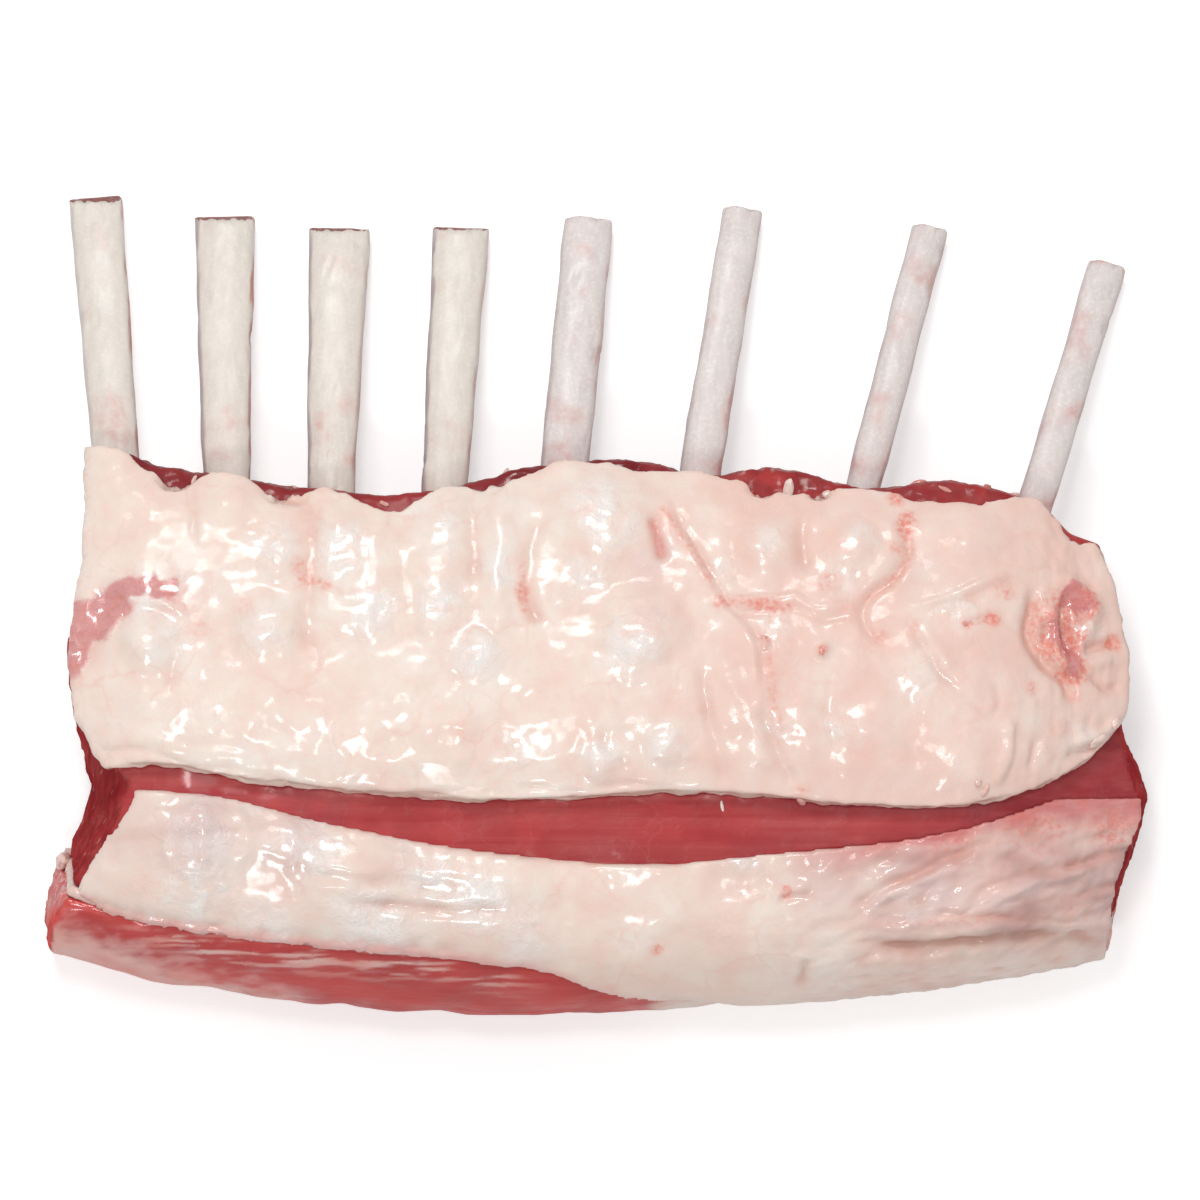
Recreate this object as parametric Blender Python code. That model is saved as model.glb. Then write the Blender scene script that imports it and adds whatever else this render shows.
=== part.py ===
"""A raw rack of lamb: eight bared rib bones, the lean of loin and ribs, and the fat over them.

The rack lies on its rib side with its fat up. X runs along the loin, Y out along the bones and Z up.
Lengths are in millimetres until a point is laid on a mesh, which scales it to metres."""

import math
from collections import namedtuple

import bmesh
import bpy
from mathutils import Vector

MM = 0.001
GAP = 0.3  # clearance between pieces that touch
CURVED_GAP = 0.45  # the same where the two faces that meet are curved

# The lean, as seen from its end: a crest, a slope down to the bones' side and a round chine side.
HALF_LENGTH = 115.0  # about half of the loin's length
CREST_HEIGHT = 47.0
CREST_Y = -45.0
SLOPE_RUN = 72.0
SLOPE_DROP = 19.0
ROUND_Y = -64.0  # where the top turns over into the chine side
ROUND_DROP = 2.5
SIDE_MIDDLE_HEIGHT = 16.0  # height of the widest point of the chine side
SIDE_MM_PER_RADIAN = 24.0  # how far a step along the skin goes round that side

# The bones arch over the table, from their chine ends to their tips.
BONE_CHINE_Y = -54.0
BONE_CHINE_HEIGHT = 10.5
BONE_ARCH = 14.5
BONE_THICKNESS = 6.6
BONE_CHINE_WIDTH = 9.0
BONE_SIDES = 10
BONE_STATIONS = 12
BONE_SHOWS_BELOW = 1.6  # how far the bones stand proud of the lean's underside
UNDERSIDE_START_Y = -57.0  # where the underside leaves the table
UNDERSIDE_RISE = 9.0  # and the run in which it reaches the bones

COLUMNS = 34  # steps along the rack, the same in each slab, so that faces that meet stay parallel
SEAM_HALF_THICKNESS = 1.1
DIVIDER_Y = -4.0  # where the loin meets the rib meat, under the cap
CAP_THICKNESS = 5.6
CAP_EDGE_THICKNESS = 3.6
COVER_THICKNESS = 3.0
COVER_EDGE_THICKNESS = 1.0

Rib = namedtuple("Rib", "tip_x tip_y edge_x edge_y tip_width edge_width chine_x cut_deg")
RIBS = (
    Rib(-110.0, 88.5, -105.0, 33.0, 12.0, 10.8, -103.0, 18.0),
    Rib(-82.0, 84.5, -81.0, 27.5, 13.6, 10.6, -77.0, 12.0),
    Rib(-57.0, 82.0, -58.5, 24.5, 13.8, 10.6, -50.0, 10.0),
    Rib(-30.5, 82.0, -34.0, 24.5, 12.8, 10.2, -22.0, 8.0),
    Rib(-3.0, 83.0, -8.0, 30.0, 11.0, 11.0, 6.0, 2.0),
    Rib(30.5, 85.0, 21.0, 27.5, 9.3, 9.3, 34.0, 0.0),
    Rib(71.0, 81.0, 56.0, 24.5, 8.3, 7.8, 62.0, 0.0),
    Rib(109.5, 73.0, 93.5, 22.0, 8.6, 8.0, 88.0, 0.0),
)
# Between two ribs the lean bulges past the line of the bones' feet, and the cap stops short of it.
LEAN_BULGE = (-1.5, -0.5, -1.0, 0.5, 1.5, 3.0, 2.4)
CAP_SETBACK = (3.0, 2.0, 4.0, 2.6, 2.2, 6.0, 5.5)

COLOURS = {
    "fat": (0.88, 0.72, 0.63),
    "lean": (0.42, 0.07, 0.07),
    "bone": (0.82, 0.77, 0.71),
}
ROUGHNESS = {"fat": 0.35, "lean": 0.4, "bone": 0.5}


def smooth_step(t):
    """0 before 0, 1 after 1, and an even rise between."""
    t = min(max(t, 0.0), 1.0)
    return t * t * (3 - 2 * t)


def smooth_through(*stations):
    """A smooth curve through (position, value) pairs, level beyond its ends."""

    def value(at):
        if at <= stations[0][0]:
            return stations[0][1]
        if at >= stations[-1][0]:
            return stations[-1][1]
        i = max(k for k in range(len(stations) - 1) if stations[k][0] <= at)
        (t0, v0), (t1, v1) = stations[i], stations[i + 1]
        before = stations[max(i - 1, 0)]
        after = stations[min(i + 2, len(stations) - 1)]
        rise0 = (v1 - before[1]) / (t1 - before[0]) * (t1 - t0)
        rise1 = (after[1] - v0) / (after[0] - t0) * (t1 - t0)
        q = (at - t0) / (t1 - t0)
        p = 1 - q
        start = v0 * (1 + 2 * q) + rise0 * q
        end = v1 * (1 + 2 * p) - rise1 * p
        return start * p * p + end * q * q

    return value


# Outlines of the meat, each a curve in Y or in X.
chine_edge = smooth_through((-120, -75.5), (-85, -83.5), (-22, -89), (35, -85.5), (75, -81), (112, -75))
left_foot = smooth_through(
    (-76, -120), (-66, -121), (-50, -116), (-36, -115), (-14, -117), (6, -111), (30, -110)
)
left_brow = smooth_through(
    (-76, -118), (-66, -116), (-50, -106), (-40, -100), (-30, -108), (-18, -112), (30, -109)
)
right_foot = smooth_through(
    (-76, 109), (-62, 112), (-44, 119), (-36, 118), (-28, 113), (-10, 113.5), (12, 108)
)
right_brow = smooth_through(
    (-76, 108), (-58, 110), (-44, 115), (-34, 112), (-28, 109), (-10, 112), (12, 106)
)
cap_left = smooth_through((-25, -111), (-12, -112.5), (4, -110.5), (20, -109.5))
cap_right = smooth_through((-24, 112), (-12, 113), (4, 109.5), (14, 106))
cap_low = smooth_through(
    (-111, -25), (-104, -36), (-97, -34.5), (-64, -39.5), (-22, -42),
    (20, -40.6), (63, -43.6), (84, -42), (104, -34), (112, -24),
)
# The cover over the loin, as steps along the skin from ROUND_Y.
cover_high = smooth_through(
    (-99, 24.6), (-84, 23.5), (-57, 17), (-26, 11.5), (8, 8.5), (42, 11.5), (74, 15.5), (97, 22.5)
)
cover_low = smooth_through(
    (-112, 4), (-104, -1), (-86, -5), (-50, -8.5), (-14, -12), (6, -21), (26, -33), (44, -38)
)
# The seam of fat between the loin and the chine muscle, at the skin and at the underside.
seam_top = smooth_through((-116, 3.5), (-104, -1), (-86, -5), (-50, -8), (110, -10))
seam_foot = smooth_through((-116, -54), (-90, -57), (110, -58))


def end_height(x):
    """How much of its height the lean keeps towards its ends."""
    return 1 - 0.05 * smooth_step((-92 - x) / 26) - 0.30 * smooth_step((x - 76) / 48)


def lean_top(x, y):
    if y < CREST_Y:
        drop = ROUND_DROP * ((CREST_Y - y) / (CREST_Y - ROUND_Y)) ** 2
    else:
        drop = SLOPE_DROP * ((y - CREST_Y) / SLOPE_RUN) ** 1.6
    return (CREST_HEIGHT - drop) * end_height(x)


def skin(x, step):
    """(y, z) on the lean's outer skin: over the top from ROUND_Y on, and below 0 round the chine side."""
    if step >= 0:
        return ROUND_Y + step, lean_top(x, ROUND_Y + step)
    angle = min(-step / SIDE_MM_PER_RADIAN, math.pi)
    reach = ROUND_Y - chine_edge(x)
    rise = lean_top(x, ROUND_Y) - SIDE_MIDDLE_HEIGHT if angle < math.pi / 2 else SIDE_MIDDLE_HEIGHT
    return ROUND_Y - reach * math.sin(angle), SIDE_MIDDLE_HEIGHT + rise * math.cos(angle)


def over_skin(x, step, height):
    """(y, z) at a height above the skin, square to it."""
    y0, z0 = skin(x, step - 0.5)
    y1, z1 = skin(x, step + 0.5)
    y, z = skin(x, step)
    length = math.hypot(y1 - y0, z1 - z0)
    return y - (z1 - z0) / length * height, z + (y1 - y0) / length * height


def bone_height(rib, y):
    """Height of a rib's centre line. The tip lies on the table."""
    along = (y - BONE_CHINE_Y) / (rib.tip_y - BONE_CHINE_Y)
    ends = BONE_CHINE_HEIGHT + (BONE_THICKNESS / 2 - BONE_CHINE_HEIGHT) * along
    return ends + 4 * BONE_ARCH * along * (1 - along)


def bone_centre(rib, y):
    """X of a rib's centre line: straight where it is bare, and bending to its chine end under the meat."""
    lean_per_mm = (rib.tip_x - rib.edge_x) / (rib.tip_y - rib.edge_y)
    buried = max(0.0, (rib.edge_y - y) / (rib.edge_y - BONE_CHINE_Y))
    straight_end = rib.edge_x + lean_per_mm * (BONE_CHINE_Y - rib.edge_y)
    return rib.edge_x + lean_per_mm * (y - rib.edge_y) + (rib.chine_x - straight_end) * buried**2


def bone_width(rib, y):
    if y > rib.edge_y:
        share = (y - rib.edge_y) / (rib.tip_y - rib.edge_y)
        return rib.edge_width + (rib.tip_width - rib.edge_width) * share
    share = (rib.edge_y - y) / (rib.edge_y - BONE_CHINE_Y)
    return rib.edge_width + (BONE_CHINE_WIDTH - rib.edge_width) * share


def underside(y):
    """The lean's lower face: it follows the arch of the bones, and comes down to the table at the chine."""
    middle_rib = RIBS[4]
    arch = bone_height(middle_rib, y) - BONE_THICKNESS / 2 + BONE_SHOWS_BELOW
    return arch * smooth_step((y - UNDERSIDE_START_Y) / UNDERSIDE_RISE)


rib_feet = smooth_through(*((rib.edge_x, rib.edge_y) for rib in RIBS), (99.5, 15.5), (109, 12))


def between_ribs(x):
    """(which gap, 0 at a rib to 1 midway between two), or None past the outer ribs."""
    for i in range(len(RIBS) - 1):
        left, right = RIBS[i].edge_x, RIBS[i + 1].edge_x
        if left < x < right:
            return i, math.sin(math.pi * (x - left) / (right - left)) ** 2
    return None


def lean_edge(x):
    gap = between_ribs(x)
    return rib_feet(x) + (LEAN_BULGE[gap[0]] * gap[1] if gap else 0.0)


def cap_high(x):
    gap = between_ribs(x)
    return lean_edge(x) - 0.8 - (CAP_SETBACK[gap[0]] * gap[1] if gap else 0.0)


def settled(u, section, left, right):
    """The point at share u of the length, where the section's shape and the outline's X agree."""
    x = (2 * u - 1) * HALF_LENGTH
    for _ in range(6):
        y, z = section(x)
        x = left(y, z) + u * (right(y, z) - left(y, z))
    return Vector((x, y, z))


def end_face(foot, brow):
    """An end of the lean: its X goes evenly from the foot's outline to the brow's."""
    return lambda y, z: foot(y) + (brow(y) - foot(y)) * min(z / CREST_HEIGHT, 1.0)


LEAN_ENDS = (end_face(left_foot, left_brow), end_face(right_foot, right_brow))
CAP_ENDS = (lambda y, z: cap_left(y), lambda y, z: cap_right(y))


def mix(a, b, share):
    return a + (b - a) * share


def loin_lower(u, v):
    def section(x):
        y = mix(seam_foot(x) + SEAM_HALF_THICKNESS + CURVED_GAP, DIVIDER_Y - GAP / 2, v)
        return y, underside(y)

    return settled(u, section, *LEAN_ENDS)


def loin_upper(u, v):
    def section(x):
        first = seam_top(x) + SEAM_HALF_THICKNESS + CURVED_GAP
        return skin(x, mix(first, DIVIDER_Y - GAP / 2 - ROUND_Y, v))

    return settled(u, section, *LEAN_ENDS)


def rib_meat_lower(u, v):
    def section(x):
        y = mix(DIVIDER_Y + GAP / 2, lean_edge(x), v)
        return y, underside(y)

    return settled(u, section, *LEAN_ENDS)


def rib_meat_upper(u, v):
    def section(x):
        return skin(x, mix(DIVIDER_Y + GAP / 2, lean_edge(x), v) - ROUND_Y)

    return settled(u, section, *LEAN_ENDS)


def chine_lower(u, v):
    """Round under the side for the first third, then flat on the table as far as the seam."""

    def section(x):
        turn = 1 / 3
        if v < turn:
            return skin(x, -SIDE_MM_PER_RADIAN * mix(1.75, math.pi, v / turn))
        return mix(ROUND_Y, seam_foot(x) - SEAM_HALF_THICKNESS - CURVED_GAP, (v - turn) / (1 - turn)), 0.0

    return settled(u, section, *LEAN_ENDS)


def chine_upper(u, v):
    def section(x):
        return skin(x, mix(-SIDE_MM_PER_RADIAN * 1.45, seam_top(x) - SEAM_HALF_THICKNESS - CURVED_GAP, v))

    return settled(u, section, *LEAN_ENDS)


def seam_face(side):
    """One face of the seam, running from the table (v = 0) up to the skin (v = 1)."""

    def face(u, v):
        def section(x):
            foot_y = seam_foot(x) + side * SEAM_HALF_THICKNESS
            top_y, top_z = skin(x, seam_top(x) + side * SEAM_HALF_THICKNESS)
            return mix(foot_y, top_y, v), mix(0.0, top_z, v)

        return settled(u, section, *LEAN_ENDS)

    return face


def cap_sheet(height):
    """A sheet of the cap of fat at a height above the lean, which is a function of u and v."""

    def sheet(u, v):
        def section(x):
            return over_skin(x, mix(cap_low(x), cap_high(x), v) - ROUND_Y, height(u, v))

        return settled(u, section, *CAP_ENDS)

    return sheet


def cap_height(u, v):
    rim = smooth_step(min(v, 1 - v) / 0.16) * smooth_step(min(u, 1 - u) / 0.06)
    return GAP + mix(CAP_EDGE_THICKNESS, CAP_THICKNESS, rim)


def cover_sheet(height):
    """A sheet of the loin's cover, which follows the skin round the chine side."""

    def sheet(u, v):
        def section(x):
            return over_skin(x, mix(cover_low(x), cover_high(x), v), height(u, v))

        return settled(u, section, *LEAN_ENDS)

    return sheet


def cover_height(u, v):
    rim = smooth_step(min(v, 1 - v) / 0.3) * smooth_step(min(u, 1 - u) / 0.05)
    return CURVED_GAP + mix(COVER_EDGE_THICKNESS, COVER_THICKNESS, rim)


def finish_mesh(shape, name):
    """Faces a bmesh outwards, turns it into a smooth-shaded mesh and frees it."""
    bmesh.ops.recalc_face_normals(shape, faces=shape.faces[:])
    if shape.calc_volume(signed=True) < 0:
        bmesh.ops.reverse_faces(shape, faces=shape.faces[:])
    mesh = bpy.data.meshes.new(name)
    shape.to_mesh(mesh)
    shape.free()
    mesh.shade_smooth()
    mesh.set_sharp_from_angle(angle=math.radians(40))
    return mesh


def slab(name, columns, rows, lower, upper):
    """A closed slab: a grid is raised into a block, and each of its two layers is laid on a sheet."""
    block = bmesh.new()
    bmesh.ops.create_grid(block, x_segments=columns, y_segments=rows, size=0.5)
    bottom = block.verts[:]
    raised = bmesh.ops.extrude_face_region(block, geom=block.faces[:], use_keep_orig=True)
    top = [item for item in raised["geom"] if isinstance(item, bmesh.types.BMVert)]
    for layer, sheet in ((bottom, lower), (top, upper)):
        for vert in layer:
            vert.co = MM * sheet(vert.co.x + 0.5, vert.co.y + 0.5)
    return finish_mesh(block, name)


def rib_ring(shape, rib, y, margin):
    """One flat oval ring of a rib. The ring at the tip is slanted as the saw left it."""
    ahead = Vector((bone_centre(rib, y + 1) - bone_centre(rib, y - 1), 2.0, 0.0)).normalized()
    ahead.z = (bone_height(rib, y + 1) - bone_height(rib, y - 1)) / 2
    ahead.normalize()
    across = ahead.cross(Vector((0, 0, 1))).normalized()
    up = across.cross(ahead)
    centre = Vector((bone_centre(rib, y), y, bone_height(rib, y)))
    half_width = bone_width(rib, y) / 2 + margin
    half_thickness = BONE_THICKNESS / 2 + margin
    slant = math.tan(math.radians(rib.cut_deg)) if y >= rib.tip_y else 0.0
    ring = []
    for k in range(BONE_SIDES):
        angle = 2 * math.pi * k / BONE_SIDES
        side = math.copysign(abs(math.cos(angle)) ** 0.75, math.cos(angle)) * half_width
        lift = math.copysign(abs(math.sin(angle)) ** 0.8, math.sin(angle)) * half_thickness
        ring.append(shape.verts.new(MM * (centre + across * side + up * lift - ahead * lift * slant)))
    return [shape.edges.new((ring[k - 1], ring[k])) for k in range(BONE_SIDES)]


def add_rib(shape, rib, margin=0.0):
    """A rib from its chine end to its tip, as rings bridged into a tube with closed ends."""
    start = BONE_CHINE_Y - margin
    end = rib.tip_y + margin
    stations = [mix(start, end, k / BONE_STATIONS) for k in range(BONE_STATIONS + 1)]
    rings = [rib_ring(shape, rib, y, margin) for y in stations]
    for first, second in zip(rings, rings[1:]):
        bmesh.ops.bridge_loops(shape, edges=first + second)
    for ring in (rings[0], rings[-1]):
        bmesh.ops.contextual_create(shape, geom=ring)


def rib_mesh(name, ribs, margin=0.0):
    shape = bmesh.new()
    for rib in ribs:
        add_rib(shape, rib, margin)
    return finish_mesh(shape, name)


def material(kind):
    made = bpy.data.materials.new(kind)
    made.use_nodes = True
    surface = made.node_tree.nodes["Principled BSDF"]
    surface.inputs["Base Color"].default_value = (*COLOURS[kind], 1.0)
    surface.inputs["Roughness"].default_value = ROUGHNESS[kind]
    surface.inputs["Metallic"].default_value = 0.0
    return made


def add_piece(mesh, kind=None):
    """An object for a mesh, on the rack's empty, with its material."""
    piece = bpy.data.objects.new(mesh.name, mesh)
    bpy.context.scene.collection.objects.link(piece)
    if kind:
        mesh.materials.append(bpy.data.materials.get(kind) or material(kind))
    return piece


def channel_for_ribs(piece, cutter):
    """Leaves room for the bones, which lie in the underside of the lean."""
    channel = piece.modifiers.new("rib channels", "BOOLEAN")
    channel.operation = "DIFFERENCE"
    channel.solver = "EXACT"
    channel.object = cutter


def stand_on_origin(pieces, others):
    """Moves the rack so that the middle of its footprint is the origin, by an empty that carries it."""
    corners = [Vector(corner) for piece in pieces for corner in piece.bound_box]
    low = Vector(min(corner[k] for corner in corners) for k in range(3))
    high = Vector(max(corner[k] for corner in corners) for k in range(3))
    rack = bpy.data.objects.new("rack", None)
    bpy.context.scene.collection.objects.link(rack)
    rack.location = (-(low.x + high.x) / 2, -(low.y + high.y) / 2, -low.z)
    for piece in pieces + others:
        piece.parent = rack


def main():
    for old in list(bpy.data.objects):
        bpy.data.objects.remove(old)

    ribs = [add_piece(rib_mesh(f"rib_{i}", [rib]), "bone") for i, rib in enumerate(RIBS, 1)]
    loin = add_piece(slab("loin_muscle", COLUMNS, 7, loin_lower, loin_upper), "lean")
    rib_meat = add_piece(slab("rib_meat", COLUMNS, 5, rib_meat_lower, rib_meat_upper), "lean")
    chine = add_piece(slab("chine_muscle", COLUMNS, 8, chine_lower, chine_upper), "lean")
    seam = add_piece(slab("seam_fat", COLUMNS, 3, seam_face(-1), seam_face(1)), "fat")
    cap = add_piece(slab("fat_cap", COLUMNS, 9, cap_sheet(lambda u, v: GAP), cap_sheet(cap_height)), "fat")
    under_cover = cover_sheet(lambda u, v: CURVED_GAP)
    cover = add_piece(slab("loin_cover", COLUMNS, 11, under_cover, cover_sheet(cover_height)), "fat")

    cutter = add_piece(rib_mesh("rib_cutter", RIBS, GAP))
    cutter.hide_render = True
    cutter.display_type = "WIRE"
    channel_for_ribs(loin, cutter)
    channel_for_ribs(rib_meat, cutter)

    bpy.context.view_layer.update()
    stand_on_origin(ribs + [loin, rib_meat, chine, seam, cap, cover], [cutter])


main()
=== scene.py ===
import math

import bpy
import numpy as np
from mathutils import Matrix, Vector, noise
from mathutils.bvhtree import BVHTree


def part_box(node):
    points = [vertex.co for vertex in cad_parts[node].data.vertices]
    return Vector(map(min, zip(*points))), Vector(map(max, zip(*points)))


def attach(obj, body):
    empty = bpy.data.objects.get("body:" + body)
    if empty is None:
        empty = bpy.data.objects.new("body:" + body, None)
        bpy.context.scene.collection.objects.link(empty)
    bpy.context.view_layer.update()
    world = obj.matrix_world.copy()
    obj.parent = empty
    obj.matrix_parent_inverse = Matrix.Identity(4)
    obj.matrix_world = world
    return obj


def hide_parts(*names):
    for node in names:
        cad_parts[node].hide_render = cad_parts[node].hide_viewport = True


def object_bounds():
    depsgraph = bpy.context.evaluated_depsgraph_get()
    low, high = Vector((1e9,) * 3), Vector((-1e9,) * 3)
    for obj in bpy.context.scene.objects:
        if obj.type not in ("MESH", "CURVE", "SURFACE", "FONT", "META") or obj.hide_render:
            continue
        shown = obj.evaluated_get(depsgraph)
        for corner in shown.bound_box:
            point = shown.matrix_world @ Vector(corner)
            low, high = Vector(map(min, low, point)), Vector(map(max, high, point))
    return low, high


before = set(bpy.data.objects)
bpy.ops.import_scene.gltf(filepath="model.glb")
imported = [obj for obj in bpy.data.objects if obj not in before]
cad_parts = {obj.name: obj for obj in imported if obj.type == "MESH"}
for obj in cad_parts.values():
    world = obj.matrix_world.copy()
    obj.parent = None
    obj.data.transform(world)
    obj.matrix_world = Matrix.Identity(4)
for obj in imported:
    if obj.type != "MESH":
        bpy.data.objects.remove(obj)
cadBox = [list(corner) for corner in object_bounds()]
mm = 0.001
print("frame loaded:", len(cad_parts), "nodes")


# little helpers for meshes

def freshCopy(nodeName, pieceName):
    # the CAD mesh is loose triangles, so the copy is merged before anything else
    piece = bpy.data.objects.new(pieceName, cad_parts[nodeName].data.copy())
    bpy.context.scene.collection.objects.link(piece)
    piece.data.materials.clear()
    pickOnly(piece)
    bpy.ops.object.mode_set(mode="EDIT")
    bpy.ops.mesh.select_all(action="SELECT")
    bpy.ops.mesh.remove_doubles(threshold=0.01 * mm)
    bpy.ops.object.mode_set(mode="OBJECT")
    if piece.data.has_custom_normals:
        bpy.ops.mesh.customdata_custom_splitnormals_clear()
    bpy.ops.object.shade_smooth()
    return piece


def pickOnly(piece):
    bpy.ops.object.select_all(action="DESELECT")
    piece.select_set(True)
    bpy.context.view_layer.objects.active = piece


def applyModifier(piece, kind, **settings):
    pickOnly(piece)
    modifier = piece.modifiers.new(kind.title(), kind)
    for name, value in settings.items():
        setattr(modifier, name, value)
    bpy.ops.object.modifier_apply(modifier=modifier.name)


def softSolid(piece, voxel, rounds, levels=1):
    # one even skin over the whole piece, ready to be shaped
    applyModifier(piece, "SUBSURF", levels=levels, render_levels=levels, subdivision_type="SIMPLE")
    applyModifier(piece, "REMESH", mode="VOXEL", voxel_size=voxel, use_smooth_shade=True)
    applyModifier(piece, "SMOOTH", factor=0.5, iterations=rounds)


def readVectors(items, name):
    values = np.empty(len(items) * 3)
    items.foreach_get(name, values)
    return values.reshape(-1, 3)


def places(piece):
    return readVectors(piece.data.vertices, "co")


def facings(piece):
    return readVectors(piece.data.vertex_normals, "vector")


def movePoints(piece, points):
    piece.data.vertices.foreach_set("co", points.ravel())
    piece.data.update()


def paint(piece, name, values):
    layer = piece.data.attributes.new(name, "FLOAT", "POINT")
    layer.data.foreach_set("value", np.clip(values, 0, 1).astype(np.float32))


def ease(values, low=0.0, high=1.0):
    # 0 below low, 1 above high
    share = np.clip((values - low) / (high - low), 0, 1)
    return share * share * (3 - 2 * share)


def waver(points, size, seed, depth=1):
    # smooth noise of about -1 to 1, with lumps of the given size
    shift = Vector((seed * 3.7, seed * 1.9, seed * 7.3))
    if depth == 1:
        return np.array([noise.noise(Vector(p) / size + shift) for p in points])
    return np.array([noise.fractal(Vector(p) / size + shift, 0.9, 2.1, depth) for p in points])


def wrinkles(points, size, seed, stretch=(1, 1, 1)):
    # sharp little crests, 0 to 1
    scaled = points * np.array(stretch)
    return 1 - np.abs(waver(scaled, size, seed)) * 2.2


def onBox(box, share):
    low, high = box
    return np.array([low[k] + (high[k] - low[k]) * share[k] for k in range(2)])


def smoothRoute(box, shares, steps=6):
    # a rounded line through a few points given as shares of a box
    knots = [onBox(box, share) for share in shares]
    knots = [2 * knots[0] - knots[1]] + knots + [2 * knots[-1] - knots[-2]]
    route = []
    for a, b, c, d in zip(knots, knots[1:], knots[2:], knots[3:]):
        for step in range(steps):
            t = step / steps
            route.append(0.5 * (2 * b + (c - a) * t + (2 * a - 5 * b + 4 * c - d) * t ** 2
                                + (3 * b - a - 3 * c + d) * t ** 3))
    return route + [knots[-2]]


def nearRoute(plan, route):
    # distance from each point to a route, the side it is on, and how far along it is
    away = np.full(len(plan), 1.0)
    side = np.ones(len(plan))
    along = np.zeros(len(plan))
    for i, (a, b) in enumerate(zip(route, route[1:])):
        run = b - a
        share = np.clip(((plan - a) @ run) / (run @ run), 0, 1)
        gap = plan - (a + share[:, None] * run)
        far = np.hypot(gap[:, 0], gap[:, 1])
        closer = far < away
        away[closer] = far[closer]
        side[closer] = np.sign(run[0] * gap[closer, 1] - run[1] * gap[closer, 0])
        along[closer] = (i + share[closer]) / (len(route) - 1)
    return away, side, along


def strokeMask(plan, box, stroke):
    # kind, width in mm, points. A fold is soft on its left side and steep on its right
    kind, width, shares = stroke
    reach = 3 * width * mm   # past this a stroke has faded to nothing
    route = smoothRoute(box, shares)
    low = np.min(route, axis=0) - reach
    high = np.max(route, axis=0) + reach
    inside = np.all((plan > low) & (plan < high), axis=1)
    mask = np.zeros(len(plan))
    if not inside.any():
        return mask
    away, side, along = nearRoute(plan[inside], route)
    spread = np.full(len(away), width * mm)
    if kind == "fold":
        spread[side < 0] *= 0.28
    fade = ease(np.minimum(along, 1 - along), -0.02, 0.22)
    mask[inside] = np.exp(-(away / spread) ** 2) * fade
    return mask


def spotMask(plan, box, spot):
    # place, radius in mm, strength
    centre, radius, strength = spot
    far = np.linalg.norm(plan - onBox(box, centre), axis=1)
    return strength * ease(1 - far / (radius * mm), 0.0, 0.85)


def relief(plan, box, strokes, spots=()):
    height = np.zeros(len(plan))
    for lift, stroke in strokes:
        height += lift * mm * strokeMask(plan, box, stroke)
    for spot in spots:
        height += mm * spotMask(plan, box, spot)
    return height


def most(masks):
    return np.max(masks, axis=0)


def averaged(piece, values, rounds):
    # each point takes the mean of its neighbours, again and again
    ends = np.empty(len(piece.data.edges) * 2, dtype=np.int64)
    piece.data.edges.foreach_get("vertices", ends)
    first, second = ends.reshape(-1, 2).T
    size = len(values)
    count = np.maximum(np.bincount(ends, minlength=size), 1)
    calm = np.array(values, dtype=float).reshape(size, -1)
    for step in range(rounds):
        sums = [np.bincount(first, column[second], size) + np.bincount(second, column[first], size)
                for column in calm.T]
        calm = np.column_stack(sums) / count[:, None]
    return calm.reshape(np.shape(values))


def hollows(piece, rounds, depth):
    # 1 in creases and dips as deep as the given depth, 0 on flats and crests
    points = places(piece)
    rise = np.sum((averaged(piece, points, rounds) - points) * facings(piece), axis=1)
    return averaged(piece, ease(rise, 0.15 * depth, depth), 4)


def edgeGaps(points, step=2 * mm):
    # how far each point is from the piece's lower and upper edges, measured along Y
    start = points[:, 0].min()
    column = ((points[:, 0] - start) / step).astype(int)
    low = np.full(column.max() + 1, 1.0)
    high = -low
    np.minimum.at(low, column, points[:, 1])
    np.maximum.at(high, column, points[:, 1])
    centres = start + (np.arange(len(low)) + 0.5) * step
    toLower = points[:, 1] - np.interp(points[:, 0], centres, low)
    toUpper = np.interp(points[:, 0], centres, high) - points[:, 1]
    return toLower, toUpper


def treeOf(*pieces):
    points = []
    faces = []
    for piece in pieces:
        start = len(points)
        points += [vertex.co.copy() for vertex in piece.data.vertices]
        faces += [[start + i for i in face.vertices] for face in piece.data.polygons]
    return BVHTree.FromPolygons(points, faces)


def sinkEdges(points, tree, near, far, depth):
    # points close to the meat below go down into it, so that an edge thins out to nothing
    moved = points.copy()
    for i, point in enumerate(points):
        hit, normal, index, away = tree.find_nearest(Vector(point), far)
        if hit is not None:
            share = 1 - ease(np.array([away]), near, far)[0]
            moved[i] -= np.array(normal) * depth[i] * share
    return moved


# little helpers for materials

def newMaterial(name):
    material = bpy.data.materials.new(name)
    material.use_nodes = True
    return material, material.node_tree, material.node_tree.nodes["Principled BSDF"]


def addNode(tree, kind, inputs=None, **settings):
    node = tree.nodes.new(kind)
    for name, value in settings.items():
        setattr(node, name, value)
    for socket, value in (inputs or {}).items():
        plug(tree, value, node.inputs[socket])
    return node


def plug(tree, value, socket):
    if isinstance(value, bpy.types.NodeSocket):
        tree.links.new(value, socket)
    elif isinstance(value, tuple) and len(value) == 3 and socket.type == "RGBA":
        socket.default_value = (*value, 1.0)
    else:
        socket.default_value = value


def mixColour(tree, share, first, second, blend="MIX"):
    node = addNode(tree, "ShaderNodeMix", data_type="RGBA", blend_type=blend)
    plug(tree, share, node.inputs[0])
    plug(tree, first, node.inputs[6])
    plug(tree, second, node.inputs[7])
    return node.outputs[2]


def maths(tree, operation, first, second=0.0, clamp=False):
    node = addNode(tree, "ShaderNodeMath", {0: first, 1: second}, operation=operation, use_clamp=clamp)
    return node.outputs[0]


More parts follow.
